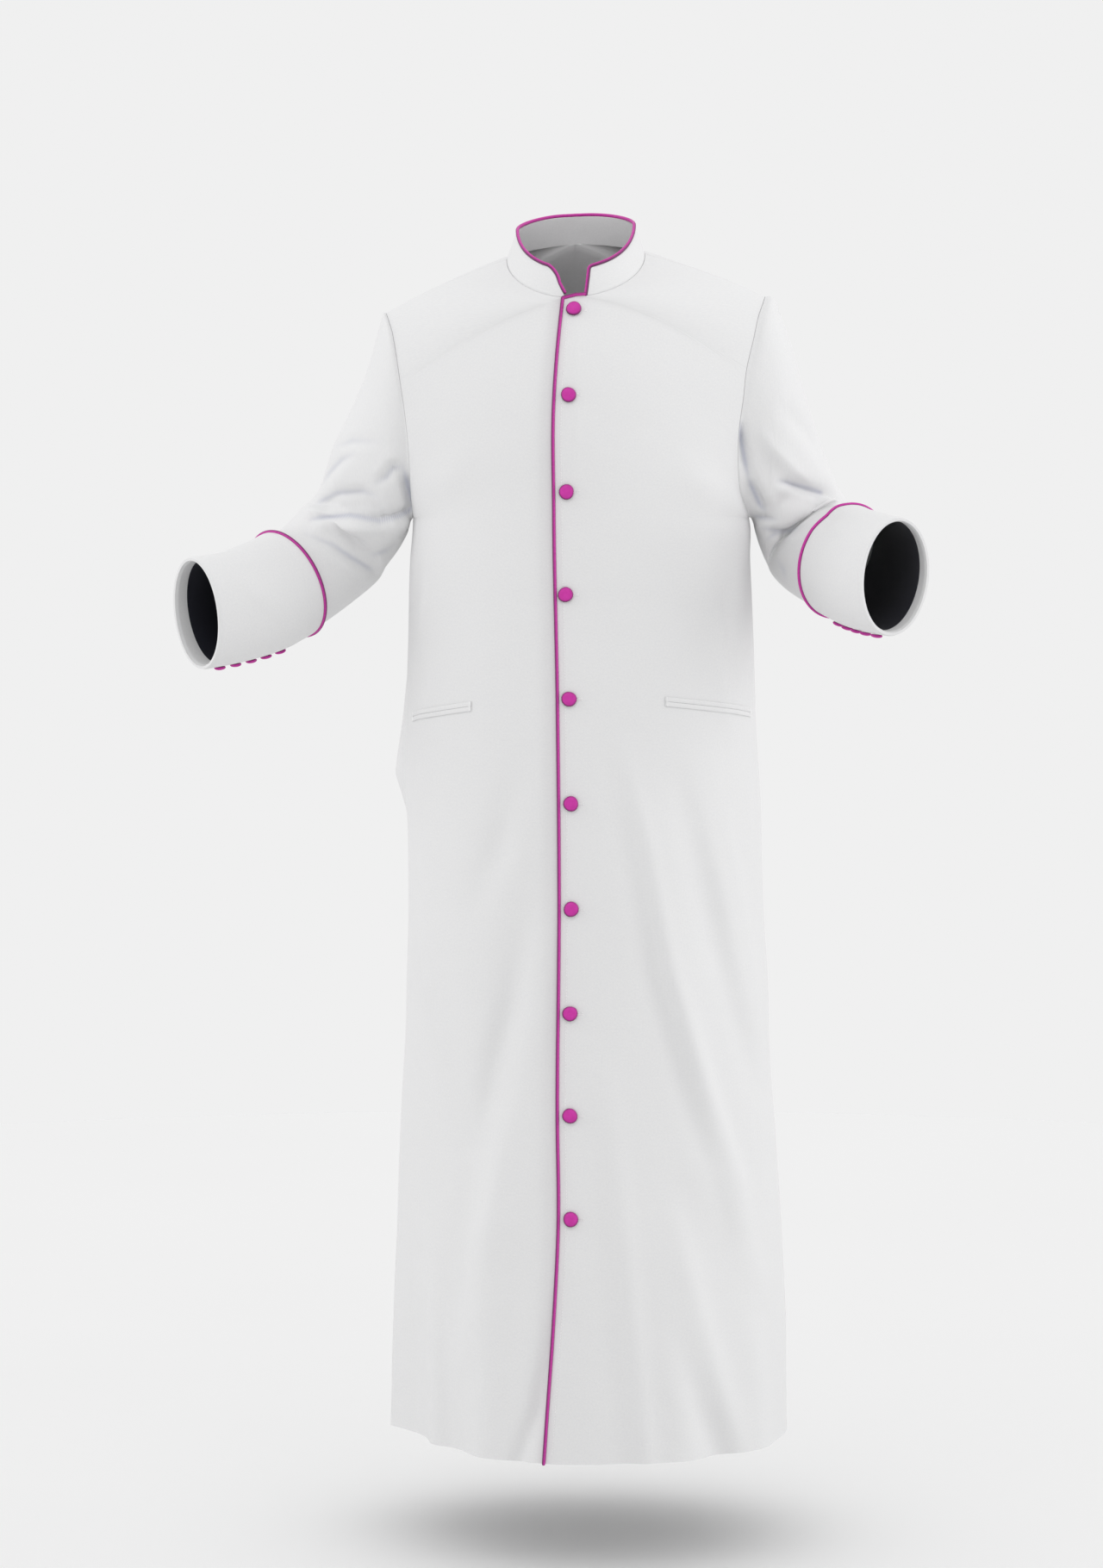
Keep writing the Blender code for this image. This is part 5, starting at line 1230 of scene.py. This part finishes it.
def add_button(name, place, normal, radius, finish, spoilt, rim_shade_share=1.0):
    """A domed button covered by hand: its outline is a little uneven and its rim is drawn in behind. The rim
    carries painted shade, heavier on its lower left side.
    """
    shape = bmesh.new()
    points = [shape.verts.new((radius * across, 0.0, radius * rise)) for across, rise in BUTTON_PROFILE]
    lines = [shape.edges.new(pair) for pair in zip(points[:-1], points[1:])]
    bmesh.ops.spin(shape, geom=points + lines, cent=(0, 0, 0), axis=(0, 0, 1), angle=math.tau,
                   steps=BUTTON_SIDES, use_duplicate=False)
    bmesh.ops.remove_doubles(shape, verts=shape.verts, dist=MERGE_BUTTON)
    bmesh.ops.recalc_face_normals(shape, faces=shape.faces)
    for vert in shape.verts:
        turn = math.atan2(vert.co.y, vert.co.x)
        grow = 1 + BUTTON_OVAL * math.sin(2 * turn + spoilt)
        grow += BUTTON_LUMPS * math.sin(3 * turn + LUMP_TURN * spoilt)
        near_edge = max(0.0, 1 - abs(vert.co.z / radius - GATHER_HEIGHT) * GATHER_FALL)
        gather = 1 + GATHER_DEPTH * math.sin(GATHERS * turn) * near_edge
        vert.co.x *= grow * gather
        vert.co.y *= grow * gather
    # Painted shade on the rim below a height, heavier towards the lower left
    rim = []
    for vert in shape.verts:
        lower_left = math.cos(math.atan2(vert.co.y, vert.co.x) + RIM_SHADE_SIDE_TURN)
        share = (RIM_SHADE_TOP - vert.co.z / radius) / RIM_SHADE_FADE
        shown = 1 - RIM_SHADE_SIDE_SHARE + RIM_SHADE_SIDE_SHARE * lower_left
        rim.append(rim_shade_share * min(1.0, max(0.0, share)) * shown)
    turn = Vector((0, 0, 1)).rotation_difference(Vector(normal)).to_matrix().to_4x4()
    bmesh.ops.transform(shape, matrix=turn, verts=shape.verts)
    bmesh.ops.translate(shape, vec=Vector(place), verts=shape.verts)
    mesh = bpy.data.meshes.new(name)
    shape.to_mesh(mesh)
    shape.free()
    mesh.attributes.new("rim", "FLOAT", "POINT").data.foreach_set("value", rim)
    mesh.shade_smooth()
    mesh.materials.append(finish)
    return show(name, mesh)


def new_tree(name, sizes):
    """A Geometry Nodes tree with a curve coming in, named sizes and a finish."""
    tree = bpy.data.node_groups.new(name, "GeometryNodeTree")
    tree.interface.new_socket("Path", in_out="INPUT", socket_type="NodeSocketGeometry")
    for size, value in sizes:
        socket = tree.interface.new_socket(size, in_out="INPUT", socket_type="NodeSocketFloat")
        socket.default_value = value
    tree.interface.new_socket("Finish", in_out="INPUT", socket_type="NodeSocketMaterial")
    tree.interface.new_socket("Shape", in_out="OUTPUT", socket_type="NodeSocketGeometry")
    return tree, node(tree, "NodeGroupInput").outputs


def close_tree(tree, shape, finish):
    real = node(tree, "GeometryNodeRealizeInstances", Geometry=shape)
    made = node(tree, "GeometryNodeSetMaterial", Geometry=real.outputs["Geometry"], Material=finish)
    node(tree, "NodeGroupOutput", Shape=made.outputs["Geometry"])
    return tree


def stitch_tree():
    """Running stitches: a short bead of thread at each step of a seam's path, lying along it."""
    tree, given = new_tree("running_stitches", (("Step", 0.003), ("Length", 0.002), ("Radius", 0.0002)))
    places = node(tree, "GeometryNodeCurveToPoints", {"mode": "LENGTH"}, Curve=given["Path"],
                  Length=given["Step"])
    bead = node(tree, "GeometryNodeMeshUVSphere", Segments=6, Rings=4, Radius=1.0)
    half = node(tree, "ShaderNodeMath", {"operation": "MULTIPLY"}, i0=given["Length"], i1=0.5)
    size = node(tree, "ShaderNodeCombineXYZ", X=given["Radius"], Y=given["Radius"], Z=half.outputs[0])
    turned = node(tree, "FunctionNodeAlignRotationToVector", {"axis": "Z"}, Vector=places.outputs["Tangent"])
    copies = node(tree, "GeometryNodeInstanceOnPoints", Points=places.outputs["Points"],
                  Instance=bead.outputs["Mesh"], Rotation=turned.outputs["Rotation"],
                  Scale=size.outputs["Vector"])
    return close_tree(tree, copies.outputs["Instances"], given["Finish"])


def thread_tree():
    """Bars of thread: a thin round bead along each short spline."""
    tree, given = new_tree("thread_bars", (("Radius", 0.0003),))
    ring = node(tree, "GeometryNodeCurvePrimitiveCircle", {"mode": "RADIUS"}, Resolution=6,
                Radius=given["Radius"])
    bar = node(tree, "GeometryNodeCurveToMesh", Curve=given["Path"], Profile_Curve=ring.outputs["Curve"],
               Fill_Caps=True)
    return close_tree(tree, bar.outputs["Mesh"], given["Finish"])


def grown(name, paths, tree, sizes, finish):
    """The mesh that a tree makes from paths, as a plain object."""
    curve = bpy.data.curves.new(name + "_path", "CURVE")
    curve.dimensions = "3D"
    for path in paths:
        spline = curve.splines.new("POLY")
        spline.points.add(len(path) - 1)
        for point, place in zip(spline.points, path):
            point.co = (*place, 1.0)
    guide = show(name + "_path", curve)
    growing = guide.modifiers.new("grow", "NODES")
    growing.node_group = tree
    sockets = {item.name: item.identifier for item in tree.interface.items_tree if item.item_type == "SOCKET"}
    for size, value in sizes:
        growing[sockets[size]] = value
    growing[sockets["Finish"]] = finish
    bpy.context.view_layer.update()
    mesh = bpy.data.meshes.new_from_object(guide.evaluated_get(bpy.context.evaluated_depsgraph_get()))
    bpy.data.objects.remove(guide)
    mesh.name = name
    mesh.shade_smooth()
    if not mesh.materials:
        mesh.materials.append(finish)
    return show(name, mesh)


def front_grids(halves):
    """The two fronts as point grids with normals. The left one laps over and the right one dips under it."""
    right = halves[(FRONT, RIGHT)]
    left = halves[(FRONT, LEFT)]
    above = neck_row_index() + 1
    lap = right.points[:, LAP_COLUMNS:0:-1].copy()
    lap[above:] = np.nan
    left_points = np.concatenate([lap, left.points], axis=1)
    left_normals = np.concatenate([right.normals[:, LAP_COLUMNS:0:-1], left.normals], axis=1)
    under = left.points[:, LAP_COLUMNS:0:-1].copy()
    under[above:] = np.nan
    right_points = np.concatenate([under, right.points], axis=1)
    right_normals = np.concatenate([left.normals[:, LAP_COLUMNS:0:-1], right.normals], axis=1)
    edge = right.columns[:, LAP_COLUMNS:LAP_COLUMNS + 1]
    past = (right.columns - edge - LAP_SHARES[0]) / (LAP_SHARES[1] - LAP_SHARES[0])
    across = np.concatenate([np.ones((len(edge), LAP_COLUMNS)), 1 - ease(past)], axis=1)
    up = np.interp(body_rows() - 1, UNDERLAP_FADE_ROWS, UNDERLAP_FADE)
    right_points -= right_normals * (UNDERLAP_DROP * up[:, None] * across)[..., None]
    return (left_points, left_normals), (right_points, right_normals)


def add_body(halves, finish):
    (left, left_normals), (right, right_normals) = front_grids(halves)
    left = trim_seams(left)
    right = trim_seams(right)
    for name, grid, normals, side in (
        ("front_left", left, left_normals, LEFT),
        ("front_right", right, right_normals, RIGHT),
    ):
        piece = add_wall(name + "_cloth", [(grid, grid - WALL * normals)], [-FRONT * side], finish)
        dress(piece, [name])
    pairs = []
    for side in (RIGHT, LEFT):
        half = halves[(BACK, side)]
        grid = trim_seams(half.points)
        pairs.append((grid, grid - WALL * half.normals))
    piece = add_wall("back_cloth", pairs, [-BACK * RIGHT, -BACK * LEFT], finish)
    dress(piece, ["back"])
    return (left, left_normals), (right, right_normals)


def add_front_piping(left, left_normals, finish):
    neck = neck_row_index()
    places = [(row, 0) for row in range(neck + 1)] + [(neck, column) for column in range(1, LAP_COLUMNS + 1)]
    for row in range(neck + 1, neck + COLLAR_START_STEPS + 2):
        if left[row, LAP_COLUMNS, 0] > FRONT_PIPING_STOP:
            break
        places.append((row, LAP_COLUMNS))
    rows, columns = np.array(places).T
    path, normals = left[rows, columns], left_normals[rows, columns]
    path = offset_path(path, normals, PIPING_RADIUS + GAP, path + TOWARDS_BUTTONS)
    path += FRONT_PIPING_LIFT * normals
    corner = path[neck]
    start = corner + PIPING_CORNER_CUT * unit(path[neck - 1] - corner)
    end = corner + PIPING_CORNER_CUT * unit(path[neck + 1] - corner)
    share = np.linspace(0, 1, PIPING_CORNER_STEPS)[:, None]
    turn = (1 - share) ** 2 * start + 2 * share * (1 - share) * corner + share**2 * end
    path = np.concatenate([path[:neck], turn, path[neck + 1:]])
    dress(add_cord("front_piping_cord", path, PIPING_RADIUS, finish), ["front_piping"])


def neckline(halves, right):
    """The neck seam from the right collar end round the back to the left end, with normals and ways up."""
    neck = neck_row_index()
    start = neck + COLLAR_START_STEPS
    right_points, right_normals = right
    pieces = (
        (right_points[start:, LAP_COLUMNS:], right_normals[start:, LAP_COLUMNS:], 1),
        (halves[(BACK, RIGHT)].points[neck:-1], halves[(BACK, RIGHT)].normals[neck:-1], -1),
        (halves[(BACK, LEFT)].points[neck + 1:-1], halves[(BACK, LEFT)].normals[neck + 1:-1], 1),
        (halves[(FRONT, LEFT)].points[start:], halves[(FRONT, LEFT)].normals[start:], -1),
    )
    points = np.concatenate([grid[::step, 0] for grid, _, step in pieces])
    beside = np.concatenate([grid[::step, 1] for grid, _, step in pieces])
    normals = np.concatenate([grid[::step, 0] for _, grid, step in pieces])
    up = unit(np.cross(np.gradient(points, axis=0), normals))
    up *= np.sign(np.sum(up * (points - beside)))
    return points, normals, up


def finer(table, count):
    """A short table of named rows read at more, evenly spread places."""
    values = np.array([tuple(row) for row in table])
    keys = np.arange(len(values), dtype=float)
    return [tuple(row) for row in smooth(keys, values, np.linspace(0, len(values) - 1, count))]


def collar_grids(halves, right):
    """Outer and inner points of the collar, from its base to its top, with its ends from their tables."""
    points, normals, up = neckline(halves, right)
    arc = run_along(points)
    length = arc[-1]
    right_end = finer(RIGHT_COLLAR_END, COLLAR_END_STEPS)
    left_end = finer(LEFT_COLLAR_END, COLLAR_END_STEPS)
    right_last = RIGHT_COLLAR_END[-1]
    left_last = LEFT_COLLAR_END[-1]
    inside = np.linspace(right_last.base_along, length - left_last.base_along, COLLAR_STEPS)[1:-1]
    right_lean = right_last.top_along - right_last.base_along
    left_lean = left_last.top_along - left_last.base_along
    rows = list(right_end)
    for place in inside:
        shift = right_lean * max(0.0, 1 - place / COLLAR_LEAN_LENGTH)
        shift -= left_lean * max(0.0, 1 - (length - place) / COLLAR_LEAN_LENGTH)
        rows.append((place, place + shift, COLLAR_HEIGHT))
    rows += [(length - base, length - top, height) for base, top, height in left_end[::-1]]
    base_along, top_along, heights = np.array(rows).T
    base = read_along(points, arc, base_along)
    base_normals = unit(read_along(normals, arc, base_along))
    outer_base = base + COLLAR_SEAT * unit(read_along(up, arc, base_along))
    top = read_along(points, arc, top_along)
    outward = unit(stack(top[:, 0] / NECK_HALF_WIDTH**2, top[:, 1] / NECK_HALF_WIDTH**2, 0.0))
    sideways = np.abs(outward[:, :1])
    lean = COLLAR_FRONT_LEAN + (COLLAR_SIDE_LEAN - COLLAR_FRONT_LEAN) * sideways
    outer_top = top + stack(0.0, 0.0, heights) - lean * (heights / COLLAR_HEIGHT)[:, None] * outward
    share = np.linspace(0, 1, COLLAR_ROWS)[:, None, None]
    outer = outer_base * (1 - share) + outer_top * share
    thickness = unit(base_normals * (1 - share) + outward * share)
    outer += COLLAR_BELLY * np.sin(math.pi * share) * thickness
    return outer, outer - WALL * thickness


def add_collar(halves, right, finishes):
    outer, inner = collar_grids(halves, right)
    piece = add_wall("collar_cloth", [(outer, inner)], [-1], finishes["cloth"])
    dress(piece, ["collar"])
    middle = (outer + inner) / 2
    path = np.concatenate([middle[:, 0], middle[-1, 1:-1], middle[::-1, -1]])
    thickness = unit(outer - inner)
    normals = np.concatenate([thickness[:, 0], thickness[-1, 1:-1], thickness[::-1, -1]])
    path = offset_path(path, normals, PIPING_RADIUS + GAP, path + TOWARDS_HEM)
    run = run_along(path)
    path = read_along(path, run, np.linspace(COLLAR_PIPING_START, run[-1] - GAP, COLLAR_PIPING_STEPS))
    piece = add_cord("collar_piping_cord", path, PIPING_RADIUS, finishes["piping"])
    dress(piece, ["collar_piping"])


def on_panel(grid, rows, columns, row, column):
    """A point of a panel's faces at any row and column value, from the four grid points round it."""
    i = int(np.clip(np.searchsorted(rows, row, side="right") - 1, 0, len(rows) - 2))
    j = int(np.clip(np.searchsorted(columns, column, side="right") - 1, 0, len(columns) - 2))
    up = (row - rows[i]) / (rows[i + 1] - rows[i])
    over = (column - columns[j]) / (columns[j + 1] - columns[j])
    return between(grid, i, j, up, over)


def on_front(left, left_normals, across, height):
    """A point of the left front near its edge, and the normal there, from its place seen from the front."""
    last = neck_row_index()
    rows = left[:last + 1, LAP_COLUMNS, 2]
    i = int(np.clip(np.searchsorted(rows, height) - 1, 0, last - 1))
    line = left[i, :NEAR_EDGE_COLUMNS, 0]
    j = int(np.clip(np.searchsorted(line, across) - 1, 0, len(line) - 2))
    over = (across - line[j]) / (line[j + 1] - line[j])
    up = (height - rows[i]) / (rows[i + 1] - rows[i])
    return between(left, i, j, up, over), unit(between(left_normals, i, j, up, over))


def add_stitching(name, paths, tree, sizes, finish):
    """Thread worked into the cloth, with no node of its own."""
    dress(grown(name, paths, tree, sizes, finish), [])


def add_front_buttons(left, left_normals, finishes, trees):
    """Ten buttons through the left front, each over the end of its worked buttonhole."""
    bars = []
    for number, button in enumerate(FRONT_BUTTONS, start=1):
        place, normal = on_front(left, left_normals, button.across, button.height)
        name = f"front_button_{number:02d}"
        made = add_button(name + "_covered", place + FRONT_BUTTON_SEAT * normal, normal, FRONT_BUTTON_RADIUS,
                          finishes["button"], number * FRONT_SPOILT_STEP)
        dress(made, [name])
        for bar in range(BUTTONHOLE_BARS):
            along = BUTTONHOLE_START + bar * BUTTONHOLE_STEP
            half = BUTTONHOLE_HALF if 0 < bar < BUTTONHOLE_BARS - 1 else BUTTONHOLE_END_HALF
            ends = []
            for up in (-half, -half / 4, half / 4, half):
                at, out = on_front(left, left_normals, button.across + along, button.height + up)
                ends.append(at + (BAR_RAISE if abs(up) > half / 2 else 0.0) * out)
            bars += [ends[:2], ends[2:]]
    add_stitching("buttonhole_stitching", bars, trees["thread"], THREAD_SIZES, finishes["thread"])


def add_edge_stitching(left, left_normals, finishes, trees):
    """A line of running stitches beside the front edge's piping, from the hem to the neck."""
    path = []
    for row in range(2, neck_row_index() - 1):
        line = left[row, :NEAR_EDGE_COLUMNS]
        run = run_along(line)
        column = int(np.searchsorted(run, EDGE_STITCH_INSET))
        lift = 0.5 * STITCH_RADIUS * left_normals[row, column]
        path.append(read_along(line, run, EDGE_STITCH_INSET) + lift)
    add_stitching("front_edge_stitching", [path], trees["stitch"], STITCH_SIZES, finishes["thread"])


def add_pockets(halves, finishes, trees):
    """Two puffed lips to a pocket, on the panel's own points and moved out, with a bar tack at each end."""
    rows = body_rows()
    tacks = []
    lips = {"right": [], "left": []}
    for pocket in POCKETS:
        side = RIGHT if pocket.side == "right" else LEFT
        half = halves[(FRONT, side)]
        level = int(np.argmin(np.abs(half.points[:SKIRT_ROWS, 0, 2] - POCKET_LEVEL)))
        columns = half.columns[level]
        heights = np.array([pocket.inner_height, pocket.outer_height])
        shares = share_at(FRONT, side, row_at(heights), np.array([pocket.inner_across, pocket.outer_across]))
        places = np.linspace(shares[0], shares[1], WELT_STEPS)
        middle = np.interp(places, shares, heights)
        for lip, low, high in (("upper", GAP / 2, WELT_WIDTH), ("lower", -WELT_WIDTH, -GAP / 2)):
            outer = []
            inner = []
            for share in np.linspace(0, 1, WELT_ROWS):
                offset = low + (high - low) * share
                arch = math.sqrt(math.sin(math.pi * (PUFF_INSET + (1 - 2 * PUFF_INSET) * share)))
                puff = WELT_WALL * (PUFF_AT_EDGE + (1 - PUFF_AT_EDGE) * arch)
                pairs = [(row_at(height + offset), place) for height, place in zip(middle, places)]
                points = np.array([on_panel(half.points, rows, columns, *pair) for pair in pairs])
                normals = unit(np.array([on_panel(half.normals, rows, columns, *pair) for pair in pairs]))
                inner.append(points + WELT_SEAT * normals)
                outer.append(points + (WELT_SEAT + puff) * normals)
            name = f"pocket_{pocket.side}_{lip}_welt"
            pair = (np.array(outer), np.array(inner))
            piece = add_wall(name + "_cloth", [pair], [-FRONT * side], finishes["cloth"])
            lips[pocket.side].append(dress(piece, [name]))
        for end in (0, 1):
            for line in range(TACK_LINES):
                inset = (TACK_INSET + line * TACK_STEP) * (1 if end == 0 else -1) / TACK_GIRTH
                ends = []
                for up in (-WELT_WIDTH, 0.0, WELT_WIDTH):
                    pair = (row_at(heights[end] + up), shares[end] + inset)
                    at = on_panel(half.points, rows, columns, *pair)
                    out = unit(on_panel(half.normals, rows, columns, *pair))
                    ends.append(at + (WELT_SEAT + WELT_WALL + TACK_RAISE) * out)
                tacks.append(ends)
    add_stitching("pocket_bar_tacks", tacks, trees["thread"], THREAD_SIZES, finishes["thread"])


def flare(rings):
    """How far the turned-back cuff stands off the sleeve towards its top edge."""
    top = CUFF_ROWS[0].outer_ring
    return CUFF_FLARE * ease((CUFF_FLARE_END - np.asarray(rings)) / (CUFF_FLARE_END - top))


def add_sleeve(halves, side, finishes):
    word = "right" if side == RIGHT else "left"
    turns = loop_turns()
    loop, loop_normals, ways_out = armhole_loop(halves, side)
    grid, normals = sleeve_surface(side, turns, SLEEVE_RINGS, loop)
    inner = grid - WALL * normals
    grid[0] = loop + GAP * ways_out
    inner[0] = grid[0] - WALL * loop_normals
    piece = add_tube(f"sleeve_{word}_cloth", grid, inner, finishes["cloth"])
    dress(piece, [f"sleeve_{word}_front", f"sleeve_{word}_back"])
    # Painted shade in the sleeve's pinched creases
    paint_crease_shade(piece, side)

    steps = np.linspace(0, len(CUFF_ROWS) - 1, CUFF_STEPS)
    table = np.array([tuple(row) for row in CUFF_ROWS])
    outer_ring, outer_lift, inner_ring, inner_lift = (
        np.interp(steps, np.arange(len(table)), table[:, column]) for column in range(4))
    outside = outer_lift > 0
    outer, _ = lifted(side, turns, loop, outer_ring, outer_lift + flare(outer_ring) * outside)
    inner, _ = lifted(side, turns, loop, inner_ring, inner_lift + flare(inner_ring) * outside)
    piece = add_tube(f"cuff_{word}_cloth", outer, inner, finishes["cloth"])
    dress(piece, [f"cuff_{word}"])

    lining_rings = np.linspace(LINING_START, LINING_STOP, LINING_STEPS)
    outer, normals = lifted(side, turns, loop, lining_rings, np.full(LINING_STEPS, -WALL - GAP))
    piece = add_tube(f"cuff_lining_{word}_cloth", outer, outer - LINING_WALL * normals, finishes["lining"])
    dress(piece, [f"cuff_lining_{word}"])

    piping_lift = GAP + PIPING_RADIUS + CUFF_PIPING_CLEARANCE + CUFF_FLARE
    edge, normals = lifted(side, turns, loop, [CUFF_ROWS[0].outer_ring], [piping_lift])
    next_edge, _ = lifted(side, turns, loop, [CUFF_ROWS[0].outer_ring - RING_NUDGE], [piping_lift])
    path = edge[0] + (PIPING_RADIUS + GAP) * unit(next_edge[0] - edge[0])
    piece = add_cord(f"cuff_piping_{word}_cord", path, PIPING_RADIUS, finishes["piping"], closed=True)
    dress(piece, [f"cuff_piping_{word}"])
    add_cuff_buttons(side, word, turns, loop, finishes["button"])


def add_cuff_buttons(side, word, turns, loop, finish):
    """Five buttons in a row along the inner line of the cuff."""
    inner_line = int(np.argmin(np.abs(turns - math.pi)))
    mouth = max(row.outer_ring for row in CUFF_ROWS)
    rings = np.linspace(mouth, CUFF_ROWS[0].outer_ring, CUFF_BUTTON_PLACES)
    grid, normals = lifted(side, turns, loop, rings, CUFF_BUTTON_SEAT + flare(rings))
    line = grid[:, inner_line]
    distance = run_along(line)
    for number in range(CUFF_BUTTON_COUNT):
        place = int(np.searchsorted(distance, CUFF_BUTTON_FIRST + number * CUFF_BUTTON_STEP))
        name = f"cuff_button_{word}_{number + 1}"
        made = add_button(name + "_covered", line[place], normals[place, inner_line], CUFF_BUTTON_RADIUS,
                          finish, number * CUFF_SPOILT_STEP + side, CUFF_RIM_SHADE_SHARE)
        dress(made, [name])


def add_ground(finish):
    """A pale round floor, as bright as the studio beyond its edge. Gives what the lamps leave out."""
    turns = np.linspace(0, math.tau, FLOOR_SIDES, endpoint=False)
    points = stack(FLOOR_RADIUS * np.cos(turns), FLOOR_RADIUS * np.sin(turns), FLOOR_HEIGHT)
    floor = add_mesh("pale_floor", points, [tuple(range(FLOOR_SIDES))], finish)
    shaded = bpy.data.collections.new("out_of_the_lamps")
    shaded.objects.link(floor)
    shaded.collection_objects[0].light_linking.link_state = "EXCLUDE"
    return shaded


def add_light(name, place, aim, size, power, shaded):
    lamp = bpy.data.lights.new(name, "AREA")
    lamp.shape = "RECTANGLE"
    lamp.size, lamp.size_y = size
    lamp.energy = power
    made = show(name, lamp)
    made.location = place
    made.rotation_euler = (Vector(aim) - Vector(place)).to_track_quat("-Z", "Y").to_euler()
    made.light_linking.receiver_collection = shaded


def add_studio(shaded):
    for name, place, aim, size, power in LAMPS:
        add_light(name, place, aim, size, power, shaded)
    world = bpy.data.worlds.new("soft_studio")
    world.use_nodes = True
    tree = world.node_tree
    direction = node(tree, "ShaderNodeTexCoord").outputs["Generated"]
    height = node(tree, "ShaderNodeSeparateXYZ", Vector=direction).outputs["Z"]
    level = node(tree, "ShaderNodeValToRGB", Fac=height)
    while len(level.color_ramp.elements) < len(STUDIO_LEVELS):
        level.color_ramp.elements.new(0.5)
    for element, (place, brightness) in zip(level.color_ramp.elements, STUDIO_LEVELS):
        element.position = place
        element.color = (brightness, brightness, brightness, 1.0)
    tree.links.new(level.outputs["Color"], tree.nodes["Background"].inputs["Color"])
    bpy.context.scene.world = world
    bpy.context.scene.view_settings.view_transform = "Standard"
    eye = bpy.data.cameras.new("photo_camera")
    eye.lens = CAMERA_LENS
    eye.sensor_width = CAMERA_SENSOR
    camera = show("photo_camera", eye)
    camera.location = CAMERA_PLACE
    camera.rotation_euler = (math.radians(CAMERA_TILT), 0.0, 0.0)
    bpy.context.scene.camera = camera


def main():
    finishes = {
        "cloth": robe_cloth(),
        "piping": bias_satin(),
        "button": button_satin(),
        "lining": dark_lining(),
        "thread": sewing_thread(),
    }
    trees = {"stitch": stitch_tree(), "thread": thread_tree()}
    halves = body_halves()
    left, right = add_body(halves, finishes["cloth"])
    add_front_piping(*left, finishes["piping"])
    add_collar(halves, right, finishes)
    add_front_buttons(*left, finishes, trees)
    add_edge_stitching(*left, finishes, trees)
    add_pockets(halves, finishes, trees)
    for side in (RIGHT, LEFT):
        add_sleeve(halves, side, finishes)
    shaded = add_ground(pale_ground())
    add_studio(shaded)


main()
